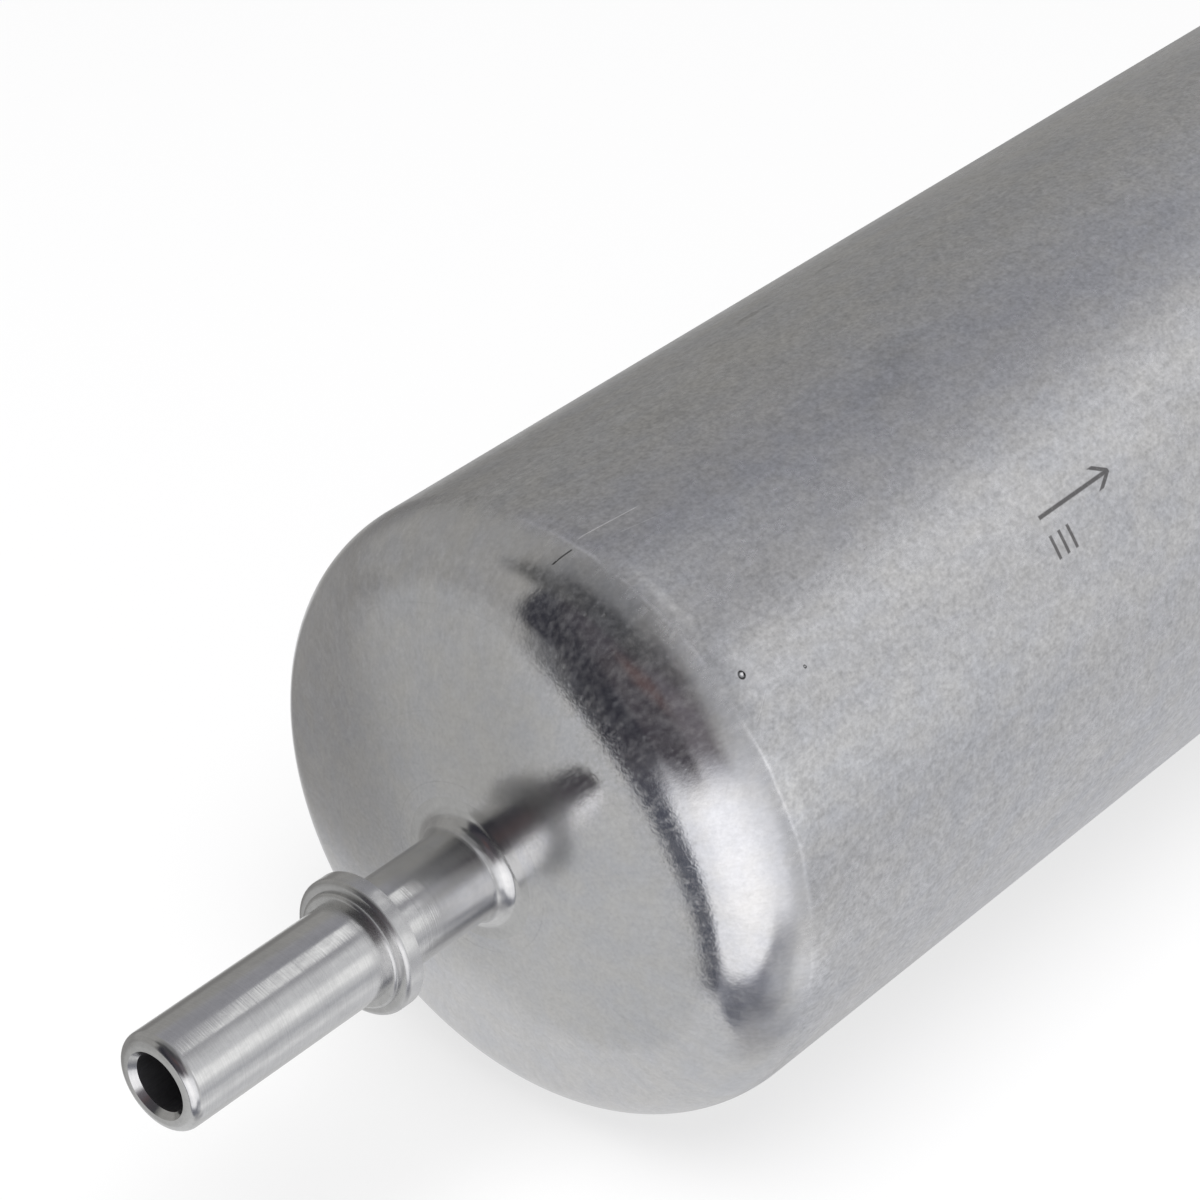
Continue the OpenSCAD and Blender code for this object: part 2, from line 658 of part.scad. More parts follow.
module end_cover() {
    nib_w = 5;
    nib_h = 1.4;
    nib_len = 4;
    nib_short = 2;
    key_w = 1.6;
    key_h = 0.8;
    key_short = 3;
    face_round_r = 1;
    face_rib_short = 2;
    socket_out_h = socket_in_h + 2 * socket_wall;
    socket_out_w = socket_in_w + 2 * socket_wall;
    color([0.09, 0.09, 0.1]) along_pump() {
        difference() {
            union() {
                revolved(concat(
                    [
                        [port_r, nipple_end_at + nipple_end_gap], [port_r, port_front_at],
                        [port_r + port_wall, port_front_at], [port_r + port_wall, cover_floor_at],
                        [skirt_ir, cover_floor_at], [skirt_ir, skirt_front_at],
                        [skirt_r, skirt_front_at],
                        [skirt_r, cover_seal_at - cover_groove_w / 2],
                        [can_ir - cover_seal_d, cover_seal_at - cover_groove_w / 2],
                        [can_ir - cover_seal_d, cover_seal_at + cover_groove_w / 2],
                        [skirt_r, cover_seal_at + cover_groove_w / 2]
                    ],
                    arc([can_r - rim_bend_r, rim_bend_at], cover_bend_r, 0, 90, 5),
                    [[cover_face_r, cover_shoulder_at]],
                    arc([cover_face_r - face_round_r, cover_face_at - face_round_r],
                        face_round_r, 0, 90, 4),
                    [for (p = spigot_outline(outlet_len)) [p[0], cover_face_at + outlet_len - p[1]]],
                    [[bore_r, nipple_end_at + nipple_end_gap]]
                ));
                around(rib_count, 180 / rib_count) block(
                    [port_r + port_wall - over, -rib_t / 2, skirt_front_at + cover_seal_in],
                    [skirt_ir + over, rib_t / 2, cover_floor_at + over]
                );
                rounded_box(socket_out_h, socket_out_w, socket_corner_r + socket_wall,
                    cover_face_at - over, socket_mouth_at);
                block(
                    [socket_up + socket_out_h / 2 - over, -nib_w / 2,
                        socket_mouth_at - nib_len - nib_short],
                    [socket_up + socket_out_h / 2 + nib_h, nib_w / 2, socket_mouth_at - nib_short]
                );
                for (turn = [60:60:300]) rotate([0, 0, turn]) block(
                    [neck_r, -face_rib_w / 2, cover_face_at - over],
                    [cover_face_r - face_rib_short, face_rib_w / 2, cover_face_at + face_rib_h]
                );
                polarity_mark(1, [0, 90]);
                polarity_mark(-1, [90]);
            }
            difference() {
                rounded_box(socket_in_h, socket_in_w, socket_corner_r,
                    socket_floor_at, socket_mouth_at + over);
                for (side = [-1, 1]) translate([0, side * socket_in_w / 2, 0]) block(
                    [socket_up - key_w / 2, -key_h, 0],
                    [socket_up + key_w / 2, key_h, socket_mouth_at - key_short]
                );
            }
            for (side = [-1, 1])
                blade_slot(side * blade_pitch / 2, cover_floor_at - over, socket_floor_at + over);
        }
    }
}

module cover_seal() {
    color([0.2, 0.2, 0.2]) along_pump() rotate_extrude()
        translate([cover_seal_r, cover_seal_at]) circle(d = cover_seal_d);
}

module terminal(side) {
    color([0.86, 0.74, 0.4]) along_pump() blade(side * blade_pitch / 2, tail_at, blade_end_at);
}
module terminal_positive() { terminal(1); }
module terminal_negative() { terminal(-1); }

// Straight lead with a push-on sleeve at each end
module lead(side, colour) {
    y = side * blade_pitch / 2;
    room = sleeve_wall + blade_fit;
    starts = [tab_end_at - sleeve_lap, tail_at - sleeve_past];
    ends = [tab_end_at + sleeve_past, tail_at + sleeve_lap];
    color(colour) along_pump() difference() {
        union() {
            for (i = [0, 1]) block(
                [socket_up - blade_w / 2 - room, y - blade_t / 2 - room, starts[i]],
                [socket_up + blade_w / 2 + room, y + blade_t / 2 + room, ends[i]]
            );
            translate([socket_up, y, 0])
                rod(lead_wire_r, tab_end_at + sleeve_past - over, tail_at - sleeve_past + over);
        }
        blade_slot(y, tab_end_at - sleeve_lap - over, tab_end_at + blade_fit);
        blade_slot(y, tail_at - blade_fit, tail_at + sleeve_lap + over);
    }
}
module lead_positive() { lead(1, [0.7, 0.12, 0.1]); }
module lead_negative() { lead(-1, [0.25, 0.2, 0.17]); }

module strainer_frame() {
    frame_r = foot_d / 2 - cover_fit;
    color([0.9, 0.88, 0.82]) along_pump() {
        ring(frame_r - strainer_rim_w, frame_r, end_wall, end_wall + strainer_h);
        for (turn = [0, 90]) rotate([0, 0, turn]) block(
            [-frame_r + strainer_rim_w / 2, -spoke_w / 2, end_wall + strainer_h - spoke_t],
            [frame_r - strainer_rim_w / 2, spoke_w / 2, end_wall + strainer_h]
        );
    }
}

module strainer_mesh() {
    top_at = end_wall + strainer_h - spoke_t;
    color([0.6, 0.62, 0.6]) along_pump()
        rod(foot_d / 2 - cover_fit - strainer_rim_w - blade_fit, top_at - mesh_t, top_at);
}

module flow_grooves(from, to) {
    around(groove_count, 180 / groove_count) block(
        [can_ir - groove_depth, -groove_w / 2, from], [can_ir + over, groove_w / 2, to]
    );
}

module front_isolator() {
    cone_gap = 0.3;
    lip_short = 0.6;
    funnel_h = 3;
    end_at = module_at + front_grip;
    color([0.13, 0.13, 0.13]) along_pump() difference() {
        revolved([
            [foot_d / 2, end_wall], [can_ir - shoulder_ir - cone_gap, end_wall],
            [can_ir - rubber_fit, end_wall + shoulder_ir + cone_gap], [can_ir - rubber_fit, end_at],
            [case_r + rubber_fit, end_at], [case_r + rubber_fit, module_at],
            [case_lip_r - lip_short, module_at], [foot_d / 2, module_at - funnel_h]
        ]);
        flow_grooves(end_wall - over, end_at + over);
    }
}

module rear_isolator() {
    front_at = module_end_at - rear_grip;
    lip_end_at = module_end_at + rear_lip_t;
    lip_gap = 0.2;
    lip_r = case_lip_r + lip_gap;
    color([0.13, 0.13, 0.13]) along_pump() difference() {
        revolved([
            [case_r + rubber_fit, front_at], [can_ir - rubber_fit, front_at],
            [can_ir - rubber_fit, skirt_front_at], [skirt_ir, skirt_front_at],
            [skirt_ir, lip_end_at], [lip_r, lip_end_at], [lip_r, module_end_at],
            [case_r + rubber_fit, module_end_at]
        ]);
        flow_grooves(front_at - over, skirt_front_at + over);
    }
}

module module_case() {
    inner_bend_r = 0.3;
    bend_r = case_wall + inner_bend_r;
    color([0.62, 0.63, 0.64]) along_pump() revolved(concat(
        [[case_lip_r, module_at]],
        arc([case_r - bend_r, module_at + bend_r], bend_r, -90, 0, 5),
        arc([case_r - bend_r, module_end_at - bend_r], bend_r, 0, 90, 5),
        [
            [case_lip_r, module_end_at], [case_lip_r, carrier_end_at], [case_ir, carrier_end_at],
            [case_ir, inlet_plate_at], [case_lip_r, inlet_plate_at]
        ]
    ));
}

// Kidney port on one side of the rotors' line of centres
module kidney(side, from, to) {
    translate([rotor_offset / 2, 0, 0]) rotate([0, 0, side * 90])
        sector(kidney_r - kidney_w / 2, kidney_r + kidney_w / 2, from, to, kidney_span);
}

module pin_holes(from, to) {
    for (side = [-1, 1]) translate([0, side * pin_r, 0]) rod(pin_d / 2, from, to);
}

module inlet_plate() {
    color([0.7, 0.71, 0.72]) along_pump() difference() {
        rod(fill_r, inlet_plate_at, rotor_at);
        rod(shaft_r + running_fit, rotor_at - pilot_depth, rotor_at + over);
        kidney(1, inlet_plate_at - over, rotor_at + over);
        pin_holes(rotor_at - pin_depth, rotor_at + over);
    }
}

module locating_pins() {
    color([0.55, 0.56, 0.58]) along_pump()
        pin_holes(rotor_at - pin_depth, port_plate_at + pin_depth);
}

module eccentric_ring() {
    color([0.5, 0.5, 0.52]) along_pump() difference() {
        rod(fill_r, rotor_at, port_plate_at);
        translate([rotor_offset, 0, 0])
            rod(outer_rotor_r + rotor_fit, rotor_at - over, port_plate_at + over);
        pin_holes(rotor_at - over, port_plate_at + over);
    }
}

module gerotor_outer() {
    color([0.42, 0.43, 0.45]) along_pump()
        translate([rotor_offset, 0, rotor_at + side_fit])
            linear_extrude(height = rotor_w - 2 * side_fit) difference() {
                circle(r = outer_rotor_r);
                difference() {
                    circle(r = rotor_root_r);
                    around(outer_lobes) translate([lobe_centre_r, 0]) circle(r = lobe_r);
                }
            }
}

module gerotor_inner() {
    slot_depth = port_plate_at - side_fit - drive_pin_at + drive_pin_d / 2;
    color([0.38, 0.39, 0.41]) along_pump() difference() {
        translate([0, 0, rotor_at + side_fit]) linear_extrude(height = rotor_w - 2 * side_fit)
            polygon(inner_outline);
        rod(shaft_r, rotor_at - over, port_plate_at + over);
        block(
            [-drive_pin_len / 2 - slide_fit, -drive_pin_d / 2 - slide_fit,
                port_plate_at - side_fit - slot_depth],
            [drive_pin_len / 2 + slide_fit, drive_pin_d / 2 + slide_fit, port_plate_at]
        );
    }
}

module port_plate() {
    color([0.7, 0.71, 0.72]) along_pump() difference() {
        revolved([
            [shaft_r + shaft_room, port_plate_at], [fill_r, port_plate_at], [fill_r, port_plate_end_at],
            [boss_r, port_plate_end_at], [boss_r, boss_end_at], [bush_r, boss_end_at],
            [bush_r, front_bush_at], [shaft_r + shaft_room, front_bush_at]
        ]);
        kidney(-1, port_plate_at - over, port_plate_end_at);
        pin_holes(port_plate_at - over, port_plate_at + pin_depth);
    }
}

module bush(from) {
    color([0.72, 0.52, 0.3]) along_pump()
        ring(shaft_r + running_fit, bush_r, from, from + bush_len);
}
module front_bearing() { bush(front_bush_at); }
module rear_bearing() { bush(rear_bush_at); }

module thrust_washers() {
    color([0.93, 0.92, 0.88]) along_pump() for (at = [front_washer_at, rear_washer_at])
        ring(shaft_r, washer_d / 2, at, at + washer_t);
}

module shaft() {
    chamfer = 0.4;
    color([0.75, 0.76, 0.78]) along_pump() difference() {
        revolved([
            [0, shaft_front_at], [shaft_r - chamfer, shaft_front_at],
            [shaft_r, shaft_front_at + chamfer], [shaft_r, shaft_end_at - chamfer],
            [shaft_r - chamfer, shaft_end_at], [0, shaft_end_at]
        ]);
        translate([0, 0, drive_pin_at]) rotate([0, 90, 0])
            cylinder(d = drive_pin_d, h = shaft_d + 2 * over, center = true);
    }
}

module drive_pin() {
    color([0.6, 0.6, 0.62]) along_pump() translate([0, 0, drive_pin_at]) rotate([0, 90, 0])
        cylinder(d = drive_pin_d, h = drive_pin_len, center = true);
}

module armature_core() {
    color([0.45, 0.46, 0.5]) along_pump() translate([0, 0, core_at])
        linear_extrude(height = core_len) difference() {
            circle(r = core_r);
            circle(r = shaft_r);
            around(slot_count) {
                translate([slot_floor_r, -slot_w / 2]) square([slot_top_r - slot_floor_r, slot_w]);
                translate([slot_top_r - over, -slot_mouth_w / 2])
                    square([pole_tip_t + 2 * over, slot_mouth_w]);
            }
        }
}

module windings() {
    top_r = slot_top_r - slot_fill_gap;
    round_r = 2.2;
    riser_root = 0.4;
    color([0.72, 0.38, 0.18]) along_pump() {
        revolved(concat(
            [[shaft_r + shaft_room, core_at], [shaft_r + shaft_room, winding_at]],
            arc([top_r - round_r, winding_at + round_r], round_r, -90, 0, 6),
            [[top_r, core_at]]
        ));
        revolved(concat(
            [[shaft_r + shaft_room, core_end_at], [top_r, core_end_at]],
            arc([top_r - round_r, winding_end_at - round_r], round_r, 0, 90, 6),
            [
                [riser_r, winding_end_at], [riser_r - riser_root, commutator_at],
                [shaft_r + shaft_room, commutator_at]
            ]
        ));
        around(slot_count) block(
            [slot_floor_r + slot_fill_gap, -slot_w / 2 + slot_fill_gap, core_at - over],
            [top_r, slot_w / 2 - slot_fill_gap, core_end_at + over]
        );
    }
}

module commutator_hub() {
    color([0.3, 0.18, 0.1]) along_pump() ring(shaft_r, hub_r, commutator_at, commutator_end_at);
}

module commutator_bars() {
    span = 360 / slot_count - bar_gap / commutator_r * 180 / PI;
    color([0.8, 0.45, 0.25]) along_pump() around(slot_count, 180 / slot_count)
        rotate([0, 0, -span / 2]) rotate_extrude(angle = span) polygon([
            [hub_r, commutator_at], [riser_r, commutator_at], [riser_r, commutator_at + riser_len],
            [commutator_r, commutator_at + riser_len], [commutator_r, commutator_end_at],
            [hub_r, commutator_end_at]
        ]);
}

module magnet(turn) {
    color([0.22, 0.22, 0.24]) along_pump() rotate([0, 0, turn])
        sector(magnet_ir, magnet_r, magnet_at, magnet_at + magnet_len, magnet_span);
}
module magnet_upper() { magnet(0); }
module magnet_lower() { magnet(180); }

module magnet_clips() {
    leg_r = magnet_ir + clip_leg_in;
    half_span = (180 - magnet_span - clip_side_span) / 2;
    inner_half_span = half_span - clip_leg_span;
    outline = concat(
        arc([0, 0], magnet_r, -half_span, half_span, 16),
        [for (a = [half_span, inner_half_span]) leg_r * [cos(a), sin(a)]],
        arc([0, 0], magnet_r - clip_t, inner_half_span, -inner_half_span, 14),
        [for (a = [-inner_half_span, -half_span]) leg_r * [cos(a), sin(a)]]
    );
    color([0.66, 0.67, 0.7]) along_pump() for (turn = [90, 270])
        rotate([0, 0, turn]) translate([0, 0, magnet_at + clip_short])
            linear_extrude(height = magnet_len - 2 * clip_short) polygon(outline);
}

module brush_carrier() {
    guide_w = brush_w + 2 * slide_fit + 2 * guide_wall;
    guide_h = brush_h + 2 * slide_fit + 2 * guide_wall;
    color([0.85, 0.83, 0.78]) along_pump() difference() {
        union() {
            revolved([
                [bush_r, carrier_floor_at], [carrier_ir, carrier_floor_at],
                [carrier_ir, carrier_front_at], [fill_r, carrier_front_at],
                [fill_r, carrier_end_at], [plenum_r, carrier_end_at],
                [plenum_r, carrier_end_at - plenum_depth], [0, carrier_end_at - plenum_depth],
                [0, rear_bush_at + bush_len], [bush_r, rear_bush_at + bush_len]
            ]);
            for (turn = [-90, 90]) rotate([0, 0, turn]) block(
                [guide_end_r, -guide_w / 2, brush_at - guide_h / 2],
                [spring_end_r + over, guide_w / 2, carrier_floor_at + over]
            );
        }
        for (turn = [-90, 90]) rotate([0, 0, turn]) block(
            [guide_end_r - over, -brush_w / 2 - slide_fit, brush_at - brush_h / 2 - slide_fit],
            [spring_end_r, brush_w / 2 + slide_fit, brush_at + brush_h / 2 + slide_fit]
        );
        around(3, 60) translate([feed_r, 0, 0])
            rod(feed_hole_r, carrier_floor_at - over, carrier_end_at - plenum_depth + over);
        translate([-relief_down, 0, 0]) {
            rod(relief_hole_d / 2, carrier_floor_at - over, relief_seat_at + over);
            rod(relief_bore_r, relief_seat_at, carrier_end_at + over);
        }
        for (side = [-1, 1]) {
            translate([choke_up, side * choke_pitch / 2, 0])
                rod(choke_d / 2 + blade_fit, carrier_floor_at - over,
                    carrier_floor_at + choke_seat_depth);
            blade_slot(side * blade_pitch / 2, carrier_end_at - tab_root_depth, carrier_end_at + over);
        }
    }
}

module module_tabs() {
    color([0.86, 0.74, 0.4]) along_pump() for (side = [-1, 1])
        blade(side * blade_pitch / 2, carrier_end_at - tab_root_depth, tab_end_at);
}

module brush(turn) {
    color([0.16, 0.15, 0.15]) along_pump() rotate([0, 0, turn]) difference() {
        block(
            [commutator_r - over, -brush_w / 2, brush_at - brush_h / 2],
            [brush_end_r, brush_w / 2, brush_at + brush_h / 2]
        );
        rod(brush_face_r, brush_at - brush_h, brush_at + brush_h);
    }
}
module brush_left() { brush(-90); }
module brush_right() { brush(90); }

module brush_spring(turn) {
    color([0.7, 0.71, 0.73]) along_pump() rotate([0, 0, turn])
        translate([brush_end_r + spring_seat_gap, 0, brush_at]) rotate([0, 90, 0])
            spring(brush_coil_d / 2, brush_wire_d, brush_turns,
                spring_end_r - brush_end_r - 2 * spring_seat_gap);
}
module brush_spring_left() { brush_spring(-90); }
module brush_spring_right() { brush_spring(90); }

module choke(side) {
    bare_len = 1;
    front_at = carrier_floor_at + choke_seat_depth - choke_len;
    color([0.62, 0.36, 0.2]) along_pump() translate([choke_up, side * choke_pitch / 2, 0]) {
        rod(choke_d / 2, front_at, front_at + choke_len);
        ring(choke_d / 2 - over, choke_r, front_at + bare_len, carrier_floor_at - bare_len);
    }
}
module choke_positive() { choke(1); }
module choke_negative() { choke(-1); }

module outlet_nipple() {
    lead_in = 0.8;
    groove_r = port_r - nipple_seal_d;
    color([0.16, 0.16, 0.17]) along_pump() revolved([
        [check_hole_d / 2, carrier_end_at], [nipple_r + nipple_foot_w, carrier_end_at],
        [nipple_r + nipple_foot_w, check_seat_at], [nipple_r, check_seat_at],
        [nipple_r, nipple_seal_at - nipple_groove_w / 2],
        [groove_r, nipple_seal_at - nipple_groove_w / 2],
        [groove_r, nipple_seal_at + nipple_groove_w / 2],
        [nipple_r, nipple_seal_at + nipple_groove_w / 2],
        [nipple_r, nipple_end_at - lead_in], [nipple_r - lead_in, nipple_end_at],
        [nipple_bore_d / 2, nipple_end_at], [nipple_bore_d / 2, check_seat_at],
        [check_hole_d / 2, check_seat_at]
    ]);
}

module nipple_seal() {
    color([0.2, 0.2, 0.2]) along_pump() rotate_extrude()
        translate([nipple_seal_r, nipple_seal_at]) circle(d = nipple_seal_d);
}

module check_poppet() {
    color([0.8, 0.74, 0.6]) along_pump() {
        rod(check_head_d / 2, check_head_at, check_head_at + check_head_t);
        rod(check_stem_d / 2, check_head_at, check_head_at + check_stem_len);
    }
}

module check_retainer() {
    end_at = check_retainer_at + check_retainer_t;
    hub_wall = 1;
    rim_wall = 0.8;
    window_span = 80;
    stem_room_r = check_stem_d / 2 + running_fit;
    color([0.78, 0.72, 0.5]) along_pump() difference() {
        rod(nipple_bore_d / 2, check_retainer_at, end_at);
        rod(stem_room_r, check_retainer_at - over, end_at + over);
        around(3) sector(stem_room_r + hub_wall, nipple_bore_d / 2 - rim_wall,
            check_retainer_at - over, end_at + over, window_span);
    }
}

module check_spring() {
    from = check_head_at + check_head_t + spring_seat_gap;
    color([0.7, 0.71, 0.73]) along_pump() translate([0, 0, from])
        spring(check_coil_d / 2, check_wire_d, check_turns,
            check_retainer_at - spring_seat_gap - from);
}

module relief_ball() {
    color([0.8, 0.8, 0.82]) along_pump() translate([-relief_down, 0, ball_at]) sphere(d = ball_d);
}

module relief_spring() {
    coil_ir = (relief_coil_d - relief_wire_d) / 2;
    from = ball_at + sqrt(pow(ball_d / 2, 2) - pow(coil_ir, 2)) + spring_seat_gap;
    color([0.7, 0.71, 0.73]) along_pump() translate([-relief_down, 0, from])
        spring(relief_coil_d / 2, relief_wire_d, relief_turns,
            relief_plug_at - spring_seat_gap - from);
}

module relief_plug() {
    color([0.75, 0.6, 0.32]) along_pump() translate([-relief_down, 0, 0])
        ring(relief_drain_d / 2, relief_bore_r, relief_plug_at, carrier_end_at);
}

can();
end_cover();
cover_seal();
terminal_positive();
terminal_negative();
lead_positive();
lead_negative();
strainer_frame();
strainer_mesh();
front_isolator();
rear_isolator();
module_case();
inlet_plate();
locating_pins();
eccentric_ring();
gerotor_outer();
gerotor_inner();
port_plate();
front_bearing();
thrust_washers();
shaft();
drive_pin();
armature_core();
windings();
commutator_hub();
commutator_bars();
magnet_upper();
magnet_lower();
magnet_clips();
brush_carrier();
rear_bearing();
brush_left();
brush_right();
brush_spring_left();
brush_spring_right();
choke_positive();
choke_negative();
module_tabs();
outlet_nipple();
nipple_seal();
check_poppet();
check_spring();
check_retainer();
relief_ball();
relief_spring();
relief_plug();
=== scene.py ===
import math

import bmesh
import bpy
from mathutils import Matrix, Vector


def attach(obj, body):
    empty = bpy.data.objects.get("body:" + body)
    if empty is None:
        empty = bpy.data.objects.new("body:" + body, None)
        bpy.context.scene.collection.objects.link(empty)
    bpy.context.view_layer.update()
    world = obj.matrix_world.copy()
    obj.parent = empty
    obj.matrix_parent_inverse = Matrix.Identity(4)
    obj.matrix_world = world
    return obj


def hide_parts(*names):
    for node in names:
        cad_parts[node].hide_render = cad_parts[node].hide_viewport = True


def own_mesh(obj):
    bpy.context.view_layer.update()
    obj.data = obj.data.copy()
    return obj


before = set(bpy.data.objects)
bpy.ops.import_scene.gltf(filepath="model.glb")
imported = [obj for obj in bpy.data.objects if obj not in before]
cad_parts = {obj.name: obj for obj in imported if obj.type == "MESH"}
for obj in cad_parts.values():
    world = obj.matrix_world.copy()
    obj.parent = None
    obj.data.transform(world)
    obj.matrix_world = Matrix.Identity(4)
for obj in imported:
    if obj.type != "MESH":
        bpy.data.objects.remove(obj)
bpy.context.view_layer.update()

print("frame loaded:", len(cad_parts), "nodes")


# Node building

def feed(tree, node, sockets):
    # each input takes another node's output or a plain value
    for key, value in sockets.items():
        if isinstance(value, bpy.types.NodeSocket):
            tree.links.new(value, node.inputs[key])
        else:
            node.inputs[key].default_value = value
    return node


def put(tree, kind, sockets=(), **settings):
    node = tree.nodes.new("ShaderNode" + kind)
    for name, value in settings.items():
        setattr(node, name, value)
    return feed(tree, node, dict(sockets))


def calc(tree, operation, *values, clamp=False):
    return put(tree, "Math", enumerate(values), operation=operation, use_clamp=clamp).outputs[0]


def calcVector(tree, operation, *values):
    node = put(tree, "VectorMath", enumerate(values), operation=operation)
    return node.outputs[1 if operation == "DOT_PRODUCT" else 0]


def product(tree, first, second):
    return calc(tree, "MULTIPLY", first, second)


def apart(tree, value, middle):
    # how far a value lies from a middle, to either side
    return calc(tree, "ABSOLUTE", calc(tree, "SUBTRACT", value, middle))


def strongest(tree, masks):
    top = masks[0]
    for mask in masks[1:]:
        top = calc(tree, "MAXIMUM", top, mask)
    return top


def total(tree, *terms):
    # the sum of each value times its weight
    result = None
    for value, weight in terms:
        part = product(tree, value, weight)
        result = part if result is None else calc(tree, "ADD", result, part)
    return result


def weigh(tree, maps, weights):
    return total(tree, *((maps[name], weight) for name, weight in weights.items()))


def ramp(tree, value, low, high, outLow=0.0, outHigh=1.0, smooth=True):
    node = put(tree, "MapRange", {"Value": value, "From Min": low, "From Max": high,
                                  "To Min": outLow, "To Max": outHigh},
               interpolation_type="SMOOTHSTEP" if smooth else "LINEAR")
    return node.outputs["Result"]


def blendColour(tree, factor, first, second, mode="MIX"):
    return put(tree, "Mix", {0: factor, 6: first, 7: second}, data_type="RGBA",
               blend_type=mode).outputs[2]


def noise(tree, vector, scale, detail, roughness):
    return put(tree, "TexNoise", {"Vector": vector, "Scale": scale, "Detail": detail,
                                  "Roughness": roughness}).outputs["Fac"]


def rgb(*values):
    # one value is a grey, three are a colour
    return (*values * (3 if len(values) == 1 else 1), 1.0)


def grey(tree, value):
    return put(tree, "CombineColor", {0: value, 1: value, 2: value}).outputs[0]


def newGroup(name, inputs, outputs):
    group = bpy.data.node_groups.new(name, "ShaderNodeTree")
    for label, kind, value in inputs:
        socket = group.interface.new_socket(label, in_out="INPUT", socket_type="NodeSocket" + kind)
        socket.default_value = value
    for label, kind in outputs:
        group.interface.new_socket(label, in_out="OUTPUT", socket_type="NodeSocket" + kind)
    start = group.nodes.new("NodeGroupInput")
    end = group.nodes.new("NodeGroupOutput")
    return group, start.outputs, end.inputs


def useGroup(tree, group, values):
    node = tree.nodes.new("ShaderNodeGroup")
    node.node_tree = group
    return feed(tree, node, values)


# Placing things

def direction(azimuth, elevation):
    a, e = math.radians(azimuth), math.radians(elevation)
    return Vector((math.sin(a) * math.cos(e), -math.cos(a) * math.cos(e), math.sin(e)))


def addObject(name, data):
    thing = bpy.data.objects.new(name, data)
    bpy.context.scene.collection.objects.link(thing)
    return thing


def aim(thing, place, back):
    # back points from what it looks at to where it stands
    thing.location = place
    thing.rotation_mode = "QUATERNION"
    thing.rotation_quaternion = (-back).to_track_quat("-Z", "Y")


# Camera

cameraView = {
    "place": (-0.24165, -0.1605, 0.1822),
    "azimuth": -49.355,
    "elevation": 33.918,
    "lens": 119.262,
    "sensor": 36.0,
    "near": 0.01,
    "far": 20.0,
}


def makeCamera(view):
    data = bpy.data.cameras.new("mainCamera")
    data.lens = view["lens"]
    data.sensor_width = view["sensor"]
    data.clip_start = view["near"]
    data.clip_end = view["far"]
    camera = addObject("mainCamera", data)
    aim(camera, view["place"], direction(view["azimuth"], view["elevation"]))
    bpy.context.scene.camera = camera


makeCamera(cameraView)
print("camera placed")


# Studio: what the metal reflects

def softEdge(group, angle, half, edge):
    return ramp(group, angle, calc(group, "ADD", half, edge), calc(group, "SUBTRACT", half, edge))


def makePanelGroup():
    group, given, result = newGroup(
        "studioPanel",
        [("Direction", "Vector", (0, 0, 1)), ("Centre", "Vector", (1, 0, 0)),
         ("Side", "Vector", (0, 1, 0)), ("Up", "Vector", (0, 0, 1)),
         ("Half Width", "Float", 0.5), ("Half Height", "Float", 0.5), ("Edge", "Float", 0.1),
         ("Colour", "Color", rgb(1)), ("Behind", "Color", rgb(0))],
        [("Colour", "Color")])
    along = calcVector(group, "DOT_PRODUCT", given["Direction"], given["Centre"])
    masks = []
    for axis, half in (("Side", "Half Width"), ("Up", "Half Height")):
        across = calcVector(group, "DOT_PRODUCT", given["Direction"], given[axis])
        angle = calc(group, "ABSOLUTE", calc(group, "ARCTAN2", across, along))
        masks.append(softEdge(group, angle, given[half], given["Edge"]))
    mask = calc(group, "MULTIPLY", *masks)
    group.links.new(blendColour(group, mask, given["Behind"], given["Colour"]), result["Colour"])
    return group


def makeConeGroup():
    group, given, result = newGroup(
        "studioCone",
        [("Direction", "Vector", (0, 0, 1)), ("Centre", "Vector", (1, 0, 0)),
         ("Half Angle", "Float", 0.5), ("Edge", "Float", 0.1),
         ("Colour", "Color", rgb(1)), ("Behind", "Color", rgb(0))],
        [("Colour", "Color")])
    angle = calc(group, "ARCCOSINE",
                 calcVector(group, "DOT_PRODUCT", given["Direction"], given["Centre"]))
    mask = softEdge(group, angle, given["Half Angle"], given["Edge"])
    group.links.new(blendColour(group, mask, given["Behind"], given["Colour"]), result["Colour"])
    return group


